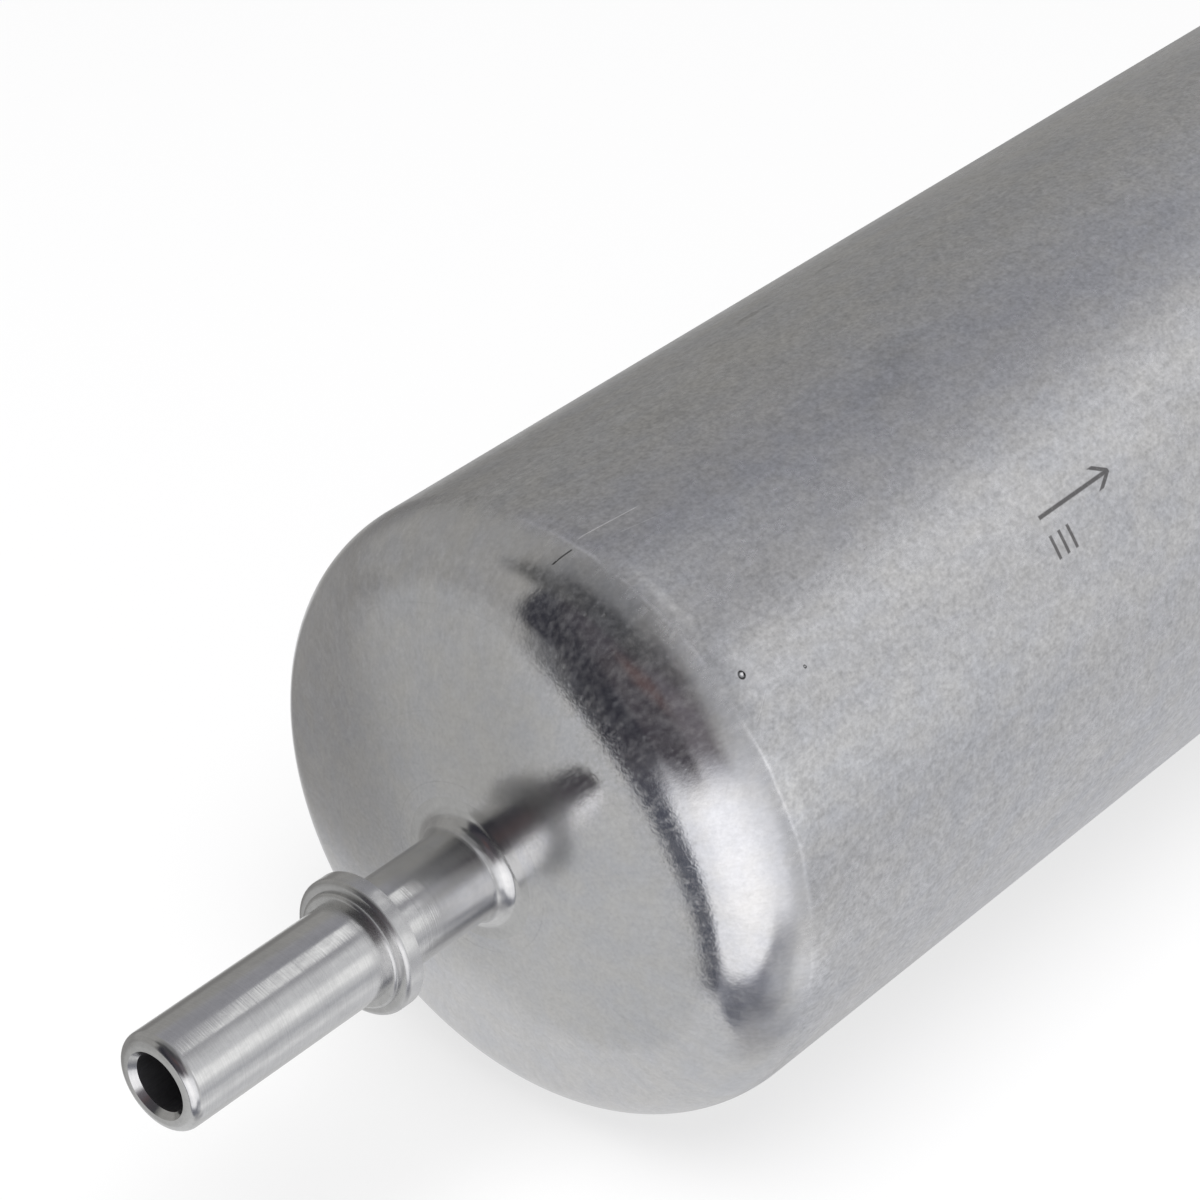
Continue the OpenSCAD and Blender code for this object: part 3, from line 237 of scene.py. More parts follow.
# Each row is a wall, card or softbox round the table, and hides what the rows above it show there:
# kind, azimuth and elevation, half width, half height, roll, soft edge, all in degrees, and colour.
# Azimuth 0 is -Y and 90 is +X. A panel and a cone are placed by their middle, and a shade by the
# middle of its lower edge. A cone is round, so it has a half width alone.
studio = {
    "level": 1.0,
    "open": (0.345, 0.34, 0.33),
    "walls": [
        ("panel", -5, 66, 60, 18, 0, 16, (0.32, 0.32, 0.33)),
        ("panel", 70, 72, 48, 12, 0, 12, (0.47, 0.47, 0.49)),
        ("cone", -51, -22, 47, 0, 0, 2, (0.26, 0.265, 0.30)),
        ("panel", -44, -56, 20, 7, 0, 6, (0.17, 0.175, 0.205)),
        ("panel", -13, -43, 11, 9, 0, 8, (0.50, 0.505, 0.53)),
        ("cone", 130, -78, 40, 0, 0, 8, (0.67, 0.67, 0.675)),
        ("panel", 60, -8, 58, 60, 0, 17, (0.67, 0.672, 0.69)),
        ("panel", -10, 22, 18, 14, 0, 12, (0.60, 0.60, 0.62)),
        ("panel", 104, 54, 34, 13, 0, 9, (0.33, 0.33, 0.355)),
        ("panel", 103, 45, 9, 8, 0, 4, (0.26, 0.265, 0.30)),
        ("panel", 82, 58, 14, 3.2, 0, 2, (1.05, 1.05, 1.05)),
        ("panel", 61, 31, 14, 10, 0, 5, (0.86, 0.86, 0.87)),
        ("panel", 27, 9, 12, 11, 0, 6, (1.02, 1.02, 1.02)),
        ("panel", 16.5, 18, 4.5, 12, 0, 5, (1.05, 1.05, 1.06)),
        ("panel", 29, -19, 14, 5, 0, 5, (0.52, 0.525, 0.55)),
        ("panel", 24, -43, 18, 6, 0, 6, (0.86, 0.86, 0.87)),
        ("panel", -24, -2, 22, 24, 0, 9, (0.95, 0.95, 0.98)),
        ("cone", -57, -7, 35.5, 0, 0, 3.5, (0.98, 0.98, 1.01)),
        ("cone", -71, -22, 20.5, 0, 0, 3, (0.98, 0.98, 1.01)),
        ("cone", -52, -8, 24, 0, 0, 16, (1.25, 1.24, 1.26)),
        ("cone", -122.8, -29.4, 31.5, 0, 0, 1.0, (0.09, 0.095, 0.12)),
        ("shade", -62, 11, 37, 36, 27.9, 10, (0.155, 0.14, 0.155)),
        ("shade", -85, -5, 36, 42, 34, 7, (0.075, 0.068, 0.078)),
        ("panel", -60, 62, 17, 15, 0, 8, (0.09, 0.085, 0.09)),
        ("panel", -77, 34, 8, 6, 10, 5, (0.125, 0.085, 0.085)),
        ("shade", -102, -11, 17, 44, 28.4, 7, (0.035, 0.035, 0.045)),
        ("panel", -155, -8, 36, 76, 0, 3, (0.36, 0.355, 0.345)),
        ("cone", -110, 80, 22, 0, 0, 13, (0.22, 0.22, 0.225)),
        ("panel", -98, 60, 18, 12, 0, 7, (0.07, 0.07, 0.075)),
        ("panel", -133, 50, 9, 9, 0, 7, (0.10, 0.10, 0.10)),
        ("cone", -167.4, -62.7, 45.7, 0, 0, 1.5, (0.63, 0.63, 0.635)),
        ("cone", -167.4, -66, 26, 0, 0, 14, (0.67, 0.67, 0.675)),
        ("panel", -5, -67, 22, 6, 0, 8, (0.38, 0.38, 0.395)),
        ("panel", -172, -23, 30, 19, 0, 6, (0.27, 0.265, 0.26)),
        ("panel", 152, -7, 11, 11, 0, 5, (0.24, 0.235, 0.23)),
        ("panel", 138, -31, 8, 12, 0, 5, (0.70, 0.70, 0.70)),
        ("cone", -123.5, -31, 28.5, 0, 0, 1.1, (0.57, 0.57, 0.57)),
        ("cone", -132, -15, 19, 0, 0, 10, (0.44, 0.438, 0.432)),
        ("panel", -159, -32, 14, 14, 0, 9, (0.38, 0.378, 0.37)),
        ("panel", -174, -24, 22, 16, 0, 12, (0.31, 0.305, 0.30)),
    ],
}


def makeStudio(plan):
    world = bpy.data.worlds.new("studio")
    world.use_nodes = True
    tree = world.node_tree
    tree.nodes.clear()
    toward = calcVector(tree, "NORMALIZE", put(tree, "TexCoord").outputs["Generated"])
    panelGroup, coneGroup = makePanelGroup(), makeConeGroup()
    colour = rgb(*plan["open"])
    for kind, azimuth, elevation, halfWidth, halfHeight, roll, edge, paint in plan["walls"]:
        centre = direction(azimuth, elevation)
        values = {"Direction": toward, "Edge": math.radians(edge), "Colour": rgb(*paint),
                  "Behind": colour}
        if kind == "cone":
            values["Half Angle"] = math.radians(halfWidth)
        else:
            side = Vector((-centre.y, centre.x, 0)).normalized()
            up = side.cross(centre)
            if up.z < 0:
                up = -up
            spin, lift = math.radians(roll), math.radians(halfHeight)
            side, up = (side * math.cos(spin) + up * math.sin(spin),
                        up * math.cos(spin) - side * math.sin(spin))
            if kind == "shade":
                centre, up = (centre * math.cos(lift) + up * math.sin(lift),
                              up * math.cos(lift) - centre * math.sin(lift))
            values.update({"Side": side, "Up": up, "Half Width": math.radians(halfWidth),
                           "Half Height": lift})
        values["Centre"] = centre
        group = coneGroup if kind == "cone" else panelGroup
        colour = useGroup(tree, group, values).outputs["Colour"]
    seen = put(tree, "LightPath")
    around = put(tree, "Background", {"Color": colour, "Strength": plan["level"]})
    plain = put(tree, "Background", {"Color": rgb(1), "Strength": 1.0})
    chosen = put(tree, "MixShader", {0: seen.outputs["Is Camera Ray"], 1: around.outputs[0],
                                     2: plain.outputs[0]})
    put(tree, "OutputWorld", {"Surface": chosen.outputs[0]})
    bpy.context.scene.world = world


# Broad lamp over the table. It gives pale and dark surfaces their plain level and the floor its
# soft shadow. Bare metal mirrors the studio alone, so the lamp isn't in its reflections.
overheadLamp = {"place": (-0.25, -0.15, 0.75), "size": 0.7, "power": 7.0}


def makeLamp(plan):
    data = bpy.data.lights.new("overheadLamp", "AREA")
    data.shape = "DISK"
    data.size = plan["size"]
    data.energy = plan["power"]
    lamp = addObject("overheadLamp", data)
    aim(lamp, plan["place"], Vector(plan["place"]))
    lamp.visible_glossy = False


makeLamp(overheadLamp)
makeStudio(studio)
bpy.context.scene.view_settings.view_transform = "Standard"
print("studio built")


# Floor

floorPlan = {"height": -0.026, "half": 3.0, "colour": (0.9, 0.9, 0.9), "glow": 0.70}


def makeFloor(plan):
    half, z = plan["half"], plan["height"]
    mesh = bpy.data.meshes.new("floor")
    mesh.from_pydata([(-half, -half, z), (half, -half, z), (half, half, z), (-half, half, z)], [],
                     [(0, 1, 2, 3)])
    floor = addObject("floor", mesh)
    material = bpy.data.materials.new("floorPaper")
    material.use_nodes = True
    tree = material.node_tree
    tree.nodes.clear()
    seen = put(tree, "LightPath")
    matt = put(tree, "BsdfDiffuse", {"Color": rgb(*plan["colour"])})
    white = put(tree, "Emission", {"Color": rgb(1), "Strength": 1.0})
    share = calc(tree, "MULTIPLY", seen.outputs["Is Camera Ray"], plan["glow"])
    mixed = put(tree, "MixShader", {0: share, 1: matt.outputs[0], 2: white.outputs[0]})
    put(tree, "OutputMaterial", {"Surface": mixed.outputs[0]})
    mesh.materials.append(material)
    floor.visible_glossy = False


makeFloor(floorPlan)
print("floor laid")


# Revolved pieces

def arc(centre, radius, start, end, steps):
    points = []
    for i in range(steps + 1):
        a = math.radians(start + (end - start) * i / steps)
        points.append((centre[0] + radius * math.cos(a), centre[1] + radius * math.sin(a)))
    return points


def revolve(name, rows, steps, sharpAngle):
    # rows are (radius, x, slot) in millimetres, in order round a closed outline
    count = len(rows)
    verts, faces, slots = [], [], []
    for radius, x, _ in rows:
        for k in range(steps):
            a = 2 * math.pi * (k + 0.5) / steps
            verts.append((x / 1000, radius / 1000 * math.sin(a), radius / 1000 * math.cos(a)))
    for i in range(count):
        j = (i + 1) % count
        for k in range(steps):
            q = (k + 1) % steps
            faces.append((i * steps + k, j * steps + k, j * steps + q, i * steps + q))
            slots.append(rows[i][2])
    mesh = bpy.data.meshes.new(name)
    mesh.from_pydata(verts, [], faces)
    mesh.polygons.foreach_set("material_index", slots)
    mesh.polygons.foreach_set("use_smooth", [True] * len(faces))
    turns = []
    for i in range(count):
        before, here, after = rows[i - 1], rows[i], rows[(i + 1) % count]
        a = Vector((here[0] - before[0], here[1] - before[1]))
        b = Vector((after[0] - here[0], after[1] - here[1]))
        turns.append(math.degrees(a.angle(b)) > sharpAngle)
    sharp = mesh.attributes.new("sharp_edge", "BOOLEAN", "EDGE")
    for edge in mesh.edges:
        first, second = edge.vertices
        if first // steps == second // steps and turns[first // steps]:
            sharp.data[edge.index].value = True
    uvMap = mesh.uv_layers.new(name="unrolled")
    lengths = [0.0]
    for i in range(count):
        j = (i + 1) % count
        lengths.append(lengths[-1] + math.dist(rows[i][:2], rows[j][:2]))
    for polygon in mesh.polygons:
        i, k = divmod(polygon.index, steps)
        corners = ((k, i), (k, i + 1), (k + 1, i + 1), (k + 1, i))
        for loop, (u, v) in zip(polygon.loop_indices, corners):
            uvMap.data[loop].uv = (u / steps, lengths[v] / lengths[-1])
    mesh.update()
    return addObject(name, mesh)


# Can

canSizes = {
    "faceX": -66.55, "radius": 25.995, "wall": 1.2, "endWall": 1.6, "length": 128.0,
    "shoulder": 7.5, "crown": 3.4, "rimBend": 2.4, "rimFlat": 1.0,
    "spigotLength": 32.2, "spigotRadius": 3.97, "tipLead": 0.9,
    "bore": 2.35, "sinkRadius": 2.75, "sinkDepth": 0.5,
    "collarRadius": 5.6, "collarAt": 20.3, "collarLand": 1.1, "collarRound": 0.45,
    "stepRadius": 4.75, "stepLength": 0.45, "stepRound": 0.3,
    "neckRadius": 3.8, "rootFillet": 1.5, "turnedTo": 6.0,
    "steps": 320, "sharpAngle": 28.0,
    "arcSteps": {"tip": 10, "step": 6, "collar": 8, "root": 12, "dome": 24, "shoulder": 32,
                 "rim": 12, "rimInside": 8, "endInside": 16},
}


def canRows(c):
    bodySlot, spigotSlot, insideSlot = 0, 1, 2
    steps = c["arcSteps"]
    x0, end = c["faceX"], c["faceX"] + c["length"]
    top = x0 - c["crown"]
    tip = top - c["spigotLength"]
    middle = c["radius"] - c["shoulder"]
    dome = (middle ** 2 + c["crown"] ** 2) / (2 * c["crown"]) + c["shoulder"]
    slope = math.degrees(math.asin(middle / (dome - c["shoulder"])))
    root = c["neckRadius"] + c["rootFillet"]
    rootAt = top + dome - math.sqrt(dome ** 2 - root ** 2)
    turnedSlope = math.degrees(math.asin(c["turnedTo"] / dome))
    collar = tip + c["collarAt"]
    collarBack = collar + c["collarLand"]
    stepAt = collar - c["collarRound"] - c["stepLength"]
    lip = c["radius"] - c["rimBend"] - c["rimFlat"]
    bend = (c["radius"] - c["rimBend"], end - c["rimBend"])
    inner = c["shoulder"] - c["wall"]
    innerAt = (c["radius"] - c["wall"] - inner, x0 + c["endWall"] + inner)
    rows = []

    def add(slot, *points):
        rows.extend((r, x, slot) for r, x in points)

    def addArc(slot, part, centre, radius, start, stop):
        add(slot, *arc(centre, radius, start, stop, steps[part]))

    # spigot, from its bore over the tip and the collar to the root
    add(insideSlot, (c["bore"], x0 + c["endWall"]))
    add(spigotSlot, (c["bore"], tip + c["sinkDepth"]), (c["sinkRadius"], tip))
    addArc(spigotSlot, "tip", (c["spigotRadius"] - c["tipLead"], tip + c["tipLead"]),
           c["tipLead"], -90, 0)
    add(spigotSlot, (c["spigotRadius"], stepAt))
    addArc(spigotSlot, "step", (c["stepRadius"] - c["stepRound"], stepAt + c["stepRound"]),
           c["stepRound"], -90, 0)
    add(spigotSlot, (c["stepRadius"], collar - c["collarRound"]))
    addArc(spigotSlot, "collar", (c["collarRadius"] - c["collarRound"], collar),
           c["collarRound"], -90, 0)
    add(spigotSlot, (c["collarRadius"], collarBack), (c["neckRadius"], collarBack))
    addArc(spigotSlot, "root", (root, rootAt - c["rootFillet"]), c["rootFillet"], 180, 90)
    # can, from the domed end over the shoulder to the rolled rim, and back inside
    addArc(bodySlot, "dome", (0, top + dome), dome, turnedSlope - 90, slope - 90)
    shoulder = arc((middle, x0 + c["shoulder"]), c["shoulder"], slope - 90, 0, steps["shoulder"])
    add(bodySlot, *shoulder[1:])
    addArc(bodySlot, "rim", bend, c["rimBend"], 0, 90)
    add(bodySlot, (lip, end))
    add(insideSlot, (lip, end - c["wall"]))
    addArc(insideSlot, "rimInside", bend, c["rimBend"] - c["wall"], 90, 0)
    addArc(insideSlot, "endInside", innerAt, inner, 0, -90)
    return rows


canShell = revolve("canShell", canRows(canSizes), canSizes["steps"], canSizes["sharpAngle"])
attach(canShell, "housing")
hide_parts("can")
print("can revolved")


# Finishes

mantleRadius = 26.0  # mm, at which the round surface is unrolled


def newMaterial(name):
    material = bpy.data.materials.new(name)
    material.use_nodes = True
    tree = material.node_tree
    tree.nodes.clear()
    shader = put(tree, "BsdfPrincipled")
    put(tree, "OutputMaterial", {"Surface": shader.outputs[0]})
    return material, tree, shader


def makePlaceGroup():
    # where a point lies on the pump: Along starts at the foot of the shoulder and is in mm, as are
    # the others, and Turn is in degrees from the top
    group, given, result = newGroup(
        "pumpPlace", [("Object", "Vector", (0, 0, 0)), ("Face", "Float", canSizes["faceX"])],
        [("Place", "Vector"), ("Along", "Float"), ("Radius", "Float"), ("Turn", "Float"),
         ("Unrolled", "Vector")])
    place = calcVector(group, "MULTIPLY", given["Object"], (1000, 1000, 1000))
    parts = put(group, "SeparateXYZ", {0: place}).outputs
    radius = calc(group, "SQRT", calc(group, "ADD", product(group, parts["Y"], parts["Y"]),
                                      product(group, parts["Z"], parts["Z"])))
    along = calc(group, "SUBTRACT", parts["X"], given["Face"])
    turn = product(group, calc(group, "ARCTAN2", product(group, parts["Y"], -1.0), parts["Z"]),
                   180 / math.pi)
    across = [calc(group, "DIVIDE", product(group, parts[axis], mantleRadius), radius)
              for axis in ("Y", "Z")]
    unrolled = put(group, "CombineXYZ", {0: calc(group, "ADD", along, radius), 1: across[0],
                                         2: across[1]}).outputs[0]
    for name, value in (("Place", place), ("Along", along), ("Radius", radius), ("Turn", turn),
                        ("Unrolled", unrolled)):
        group.links.new(value, result[name])
    return group


def makeGrainGroup():
    group, given, result = newGroup(
        "surfaceGrain",
        [("Place", "Vector", (0, 0, 0)), ("Stretch", "Vector", (1, 1, 1)), ("Scale", "Float", 1.0),
         ("Detail", "Float", 3.0), ("Low", "Float", 0.3), ("High", "Float", 0.7)],
        [("Value", "Float")])
    stretched = calcVector(group, "MULTIPLY", given["Place"], given["Stretch"])
    value = noise(group, stretched, given["Scale"], given["Detail"], 0.55)
    group.links.new(ramp(group, value, given["Low"], given["High"], smooth=False), result["Value"])
    return group


def makeScratchGroup():
    # short ticks and hairlines: cells of a stretched pattern, of which only a share carries a mark
    group, given, result = newGroup(
        "scratches",
        [("Place", "Vector", (0, 0, 0)), ("Stretch", "Vector", (1, 1, 1)), ("Scale", "Float", 1.0),
         ("Width", "Float", 0.05), ("Share", "Float", 0.1)],
        [("Mask", "Float")])
    stretched = calcVector(group, "MULTIPLY", given["Place"], given["Stretch"])
    cells = put(group, "TexVoronoi", {"Vector": stretched, "Scale": given["Scale"]})
    near = ramp(group, cells.outputs["Distance"], given["Width"], 0.0)
    pick = put(group, "SeparateColor", {0: cells.outputs["Color"]}).outputs[0]
    chosen = calc(group, "LESS_THAN", pick, given["Share"])
    group.links.new(calc(group, "MULTIPLY", near, chosen), result["Mask"])
    return group


def makeSpotGroup():
    # an oval spot on the unrolled surface: 1 in its middle, 0 outside, with an uneven edge
    group, given, result = newGroup(
        "wornSpot",
        [("Along", "Float", 0.0), ("Around", "Float", 0.0), ("At Along", "Float", 0.0),
         ("At Around", "Float", 0.0), ("Half Length", "Float", 1.0), ("Half Width", "Float", 1.0),
         ("Ragged", "Float", 0.0), ("Inner", "Float", 0.2)],
        [("Mask", "Float")])
    squares = []
    for way, half in (("Along", "Half Length"), ("Around", "Half Width")):
        off = calc(group, "SUBTRACT", given[way], given["At " + way])
        off = calc(group, "DIVIDE", off, given[half])
        squares.append(product(group, off, off))
    reach = calc(group, "SQRT", calc(group, "ADD", *squares))
    group.links.new(ramp(group, calc(group, "ADD", reach, given["Ragged"]), 1.0, given["Inner"]),
                    result["Mask"])
    return group


placeGroup = makePlaceGroup()
grainGroup = makeGrainGroup()
scratchGroup = makeScratchGroup()
spotGroup = makeSpotGroup()


def findPlace(tree):
    return useGroup(tree, placeGroup, {"Object": put(tree, "TexCoord").outputs["Object"]}).outputs


def grain(tree, place, scale, stretch=(1, 1, 1), low=0.3, high=0.7, detail=3.0):
    return useGroup(tree, grainGroup, {"Place": place, "Scale": scale, "Stretch": stretch,
                                       "Low": low, "High": high, "Detail": detail}).outputs["Value"]


def scratches(tree, place, scale, stretch, width, share):
    return useGroup(tree, scratchGroup, {"Place": place, "Scale": scale, "Stretch": stretch,
                                         "Width": width, "Share": share}).outputs["Mask"]


def spot(tree, along, around, atAlong, atAround, halfLength, halfWidth, ragged, inner):
    return useGroup(tree, spotGroup, {
        "Along": along, "Around": around, "At Along": atAlong, "At Around": atAround,
        "Half Length": halfLength, "Half Width": halfWidth, "Ragged": ragged,
        "Inner": inner}).outputs["Mask"]


def addRelief(tree, shader, height):
    # height is in millimetres
    bump = put(tree, "Bump", {"Height": height, "Distance": 0.001, "Strength": 1.0})
    tree.links.new(bump.outputs[0], shader.inputs["Normal"])


bodyFinish = {
    "colour": (0.68, 0.68, 0.688), "cool": (0.62, 0.632, 0.665), "warm": (0.715, 0.70, 0.668),
    "mark": (0.17, 0.165, 0.165),
    "faceRoughness": 0.20, "shoulderRoughness": 0.05, "sideRoughness": 0.29,
    "leastRoughness": 0.045,
    # where the side, its rougher finish, the shoulder's polish and the domed end come in, in mm
    "sideFrom": (4.6, 6.4), "roughFrom": (1.4, 7.2), "polishFrom": (11.0, 18.5), "endFrom": (0.9, -0.2),
    "ringAt": 5.6, "ringWidth": 0.34, "smearAt": 5.2, "smearWidth": 1.5,
    "markAlong": 45.0, "markAround": 21.6,
    # noises: where they are measured, scale per mm, stretch, low, high, detail
    "grains": {
        "fine": ("Place", 3.0, (0.8, 1, 1), 0.25, 0.75, 2.0),
        "sand": ("Place", 1.25, (0.7, 1, 1), 0.3, 0.7, 3.0),
        "cloud": ("Place", 0.13, (0.5, 1, 1), 0.38, 0.64, 4.0),
        "patch": ("Place", 0.42, (0.6, 1, 1), 0.40, 0.62, 4.0),
        "haze": ("Unrolled", 1.0, (0.34, 1.5, 1.5), 0.36, 0.66, 3.0),
        "blob": ("Unrolled", 1.0, (0.5, 1.3, 1.3), 0.46, 0.72, 3.0),
        "speck": ("Place", 2.2, (1, 1, 1), 0.42, 0.72, 2.0),
        "broad": ("Unrolled", 1.0, (0.05, 0.5, 0.5), 0.35, 0.68, 2.0),
        "drawn": ("Place", 1.0, (0.05, 4.0, 4.0), 0.3, 0.7, 2.0),
        "wave": ("Place", 0.11, (0.6, 1, 1), 0.0, 1.0, 1.0),
    },
    # scratches: where they are measured, scale per mm, stretch, width, share of the cells
    "scratches": {
        "ticks": ("Place", 0.55, (1.0, 3.2, 3.2), 0.06, 0.10),
        "crossed": ("Place", 0.8, (2.6, 0.9, 2.2), 0.07, 0.16),
        "hairs": ("Wandering", 0.085, (0.55, 5.0, 5.0), 0.022, 0.5),
        "rubs": ("Unrolled", 0.9, (0.42, 3.4, 3.4), 0.07, 0.14),
        "specks": ("Place", 0.9, (1, 1, 1), 0.07, 0.06),
    },
    # from the shoulder's foot and the top, in mm: along, around, half length, half width, strength
    "stains": [(42.5, -10.6, 3.6, 0.55, 0.42), (53.0, -11.2, 2.4, 0.45, 0.36),
               (36.0, -9.5, 2.6, 0.4, 0.22), (42.5, 4.0, 4.5, 2.6, 0.20),
               (38.0, 6.6, 6.0, 3.0, 0.16), (24.0, -4.0, 5.0, 2.0, 0.12),
               (16.0, 15.0, 7.0, 3.5, 0.09), (62.0, 20.0, 8.0, 3.0, 0.12)],
    # dents: along, around, radius; and the painted highlight (glint) in the first one's middle: its
    # shift and its half sizes
    "pits": [(7.6, 18.5, 0.33), (13.0, 20.6, 0.14), (3.0, 8.6, 0.16), (2.4, 7.4, 0.12)],
    "paintedGlint": (0.05, -0.04, 0.16, 0.13),
    # each from and to as along, around, then half width and strength (below 0 is dark)
    "scores": [(6.0, 2.63, 12.7, 3.13, 0.07, 0.9), (3.6, 2.60, 5.4, 3.02, 0.10, -1.0),
               (9.0, 4.2, 13.5, 4.9, 0.05, 0.4), (6.4, 22.0, 8.9, 20.2, 0.05, 0.5)],
    # faint turned rings on the domed end: radius, half width, strength, from and to as turn
    "rings": [(7.2, 0.10, 0.5, -200, 200), (20.4, 0.09, 0.55, -60, 14),
              (21.6, 0.12, 0.6, -50, 30), (12.6, 0.08, 0.25, -90, 40)],
    # what each map adds to the roughness, the brightness, the film and, in mm, the relief
    "rougher": {"all": -0.03, "cloud": 0.02, "patch": 0.02, "sand": 0.02, "shoulderHaze": 0.03,
                "shoulderBlobs": 0.16, "mark": 0.22, "ring": -0.10, "smear": 0.06, "stain": 0.10},
    "brighter": {"all": 1.185, "fineGrey": -0.30, "sandGrey": -0.17, "shoulderHaze": -0.04,
                 "shoulderBroad": -0.03, "drawn": -0.05, "ticks": -0.32, "crossed": 0.10,
                 # the dents' rim is painted shade and their glint a painted highlight
                 "specks": -0.6, "rim": -0.85, "paintedGlint": 1.4, "hairs": 0.10, "ring": 0.16,
                 "smear": 0.16, "stain": -0.55, "scoreBright": 0.45, "scoreDark": -0.8,
                 "circle": -0.16},
    "film": {"blob": 0.06, "speck": 0.05, "haze": 0.02},
    "higher": {"fine": 0.0006, "fineSide": 0.0040, "sandSide": 0.0036, "shoulderFine": 0.0007,
               "wave": 0.010, "drawn": 0.0009, "hairs": -0.0015, "shoulderRubs": -0.0014,
               "ticks": -0.004, "crossed": -0.0024, "pit": -0.16, "ring": 0.006, "smear": 0.002,
               "scoreBright": -0.010, "scoreDark": -0.02, "circle": 0.0022, "mark": -0.004},
}


def makeBodyMetal(f):
    material, tree, shader = newMaterial("satinAluminium")
    here = findPlace(tree)
    place, unrolled = here["Place"], here["Unrolled"]
    along, radius, turn = here["Along"], here["Radius"], here["Turn"]
    around = product(tree, turn, mantleRadius * math.pi / 180)
    flat = put(tree, "CombineXYZ", {0: along, 1: around}).outputs[0]
    drift = put(tree, "TexNoise", {"Vector": place, "Scale": 0.12, "Detail": 1.0}).outputs["Color"]
    wandering = calcVector(tree, "ADD", unrolled, calcVector(
        tree, "MULTIPLY", calcVector(tree, "SUBTRACT", drift, (0.5, 0.5, 0.5)), (14, 14, 14)))
    spaces = {"Place": place, "Unrolled": unrolled, "Wandering": wandering}
    ragged = calc(tree, "SUBTRACT", noise(tree, flat, 0.9, 3.0, 0.6), 0.5)

    side = ramp(tree, along, *f["sideFrom"])
    blend = ramp(tree, along, *f["roughFrom"])
    polished = product(tree, ramp(tree, radius, *f["polishFrom"]), calc(tree, "SUBTRACT", 1.0, blend))
    end = ramp(tree, along, *f["endFrom"])

    maps = {"all": 1.0}
    for name, (space, scale, stretch, low, high, detail) in f["grains"].items():
        maps[name] = grain(tree, spaces[space], scale, stretch, low, high, detail)
    for name, (space, scale, stretch, width, share) in f["scratches"].items():
        maps[name] = scratches(tree, spaces[space], scale, stretch, width, share)
    fine, sand = maps["fine"], maps["sand"]
    maps["fineGrey"] = product(tree, fine, total(tree, (side, 0.6), (1.0, 0.4)))
    maps["sandGrey"] = product(tree, sand, total(tree, (side, 0.65), (1.0, 0.35)))
    maps["fineSide"] = product(tree, fine, side)
    maps["sandSide"] = product(tree, sand, side)
    maps["shoulderHaze"] = product(tree, maps["haze"], polished)
    maps["shoulderFine"] = product(tree, maps["shoulderHaze"], fine)
    maps["shoulderBroad"] = product(tree, maps["broad"], polished)
    maps["shoulderRubs"] = product(tree, maps["rubs"], polished)
    maps["shoulderBlobs"] = product(tree, product(tree, maps["blob"], maps["speck"]), polished)

    # burnished line where the shoulder meets the side, broken and only part of the way round
    sway = grain(tree, place, 0.09, low=0.0, high=1.0)
    wander = total(tree, (sway, 1.4), (1.0, f["ringAt"] - 0.7))
    ring = ramp(tree, apart(tree, along, wander), f["ringWidth"], 0.0)
    ring = product(tree, ring, grain(tree, place, 0.25, low=0.40, high=0.54))
    part = product(tree, ramp(tree, turn, -14.0, 12.0), ramp(tree, turn, 112.0, 84.0))
    maps["ring"] = product(tree, ring, calc(tree, "ADD", 0.25, product(tree, part, 0.75)))
    smear = product(tree, ramp(tree, apart(tree, along, f["smearAt"]), f["smearWidth"], 0.0),
                    grain(tree, unrolled, 1.0, (0.5, 1.6, 1.6), 0.52, 0.70, 4.0))
    maps["smear"] = product(tree, smear, part)

    # each dent is a hollow in the relief with painted shade, a dark ring in the colour, round its edge;
    # the first dent also gets a painted highlight in its middle
    hollows, pitShadeRings = [], []
    for pitAlong, pitAround, size in f["pits"]:
        hollow = spot(tree, along, around, pitAlong, pitAround, size, size,
                      product(tree, ragged, 0.5), 0.45)
        outer = spot(tree, along, around, pitAlong, pitAround, size * 1.25, size * 1.25,
                     product(tree, ragged, 0.3), 0.7)
        hollows.append(hollow)
        pitShadeRings.append(calc(tree, "SUBTRACT", outer, product(tree, hollow, 0.8), clamp=True))
    maps["pit"], maps["rim"] = strongest(tree, hollows), strongest(tree, pitShadeRings)
    shiftAlong, shiftAround, halfLength, halfWidth = f["paintedGlint"]
    maps["paintedGlint"] = spot(tree, along, around, f["pits"][0][0] + shiftAlong,
                         f["pits"][0][1] + shiftAround, halfLength, halfWidth,
                         product(tree, ragged, 0.4), 0.5)

    frayed = product(tree, ragged, 1.4)
    stains = [product(tree, spot(tree, along, around, *oval, frayed, 0.1), strength)
              for *oval, strength in f["stains"]]
    maps["stain"] = strongest(tree, stains)

    bright, dark = [], []
    for fromAlong, fromAround, toAlong, toAround, width, strength in f["scores"]:
        length = toAlong - fromAlong
        slope = (toAround - fromAround) / length
        run = product(tree, calc(tree, "SUBTRACT", along, fromAlong), slope)
        off = apart(tree, calc(tree, "SUBTRACT", around, fromAround), run)
        beside = apart(tree, along, (fromAlong + toAlong) / 2)
        mask = product(tree, ramp(tree, off, width, width * 0.3),
                       ramp(tree, beside, length / 2, length * 0.4))
        (bright if strength > 0 else dark).append(product(tree, mask, abs(strength)))
    maps["scoreBright"], maps["scoreDark"] = strongest(tree, bright), strongest(tree, dark)

    turned = []
    for ringRadius, width, strength, start, stop in f["rings"]:
        mask = ramp(tree, apart(tree, radius, ringRadius), width, 0.0)
        span = product(tree, ramp(tree, turn, start, start + 18), ramp(tree, turn, stop, stop - 18))
        turned.append(product(tree, product(tree, mask, span), strength))
    maps["circle"] = product(tree, product(tree, strongest(tree, turned), end),
                             grain(tree, place, 0.3, low=0.34, high=0.5))
    maps["mark"] = makeMark(tree, along, around, f)

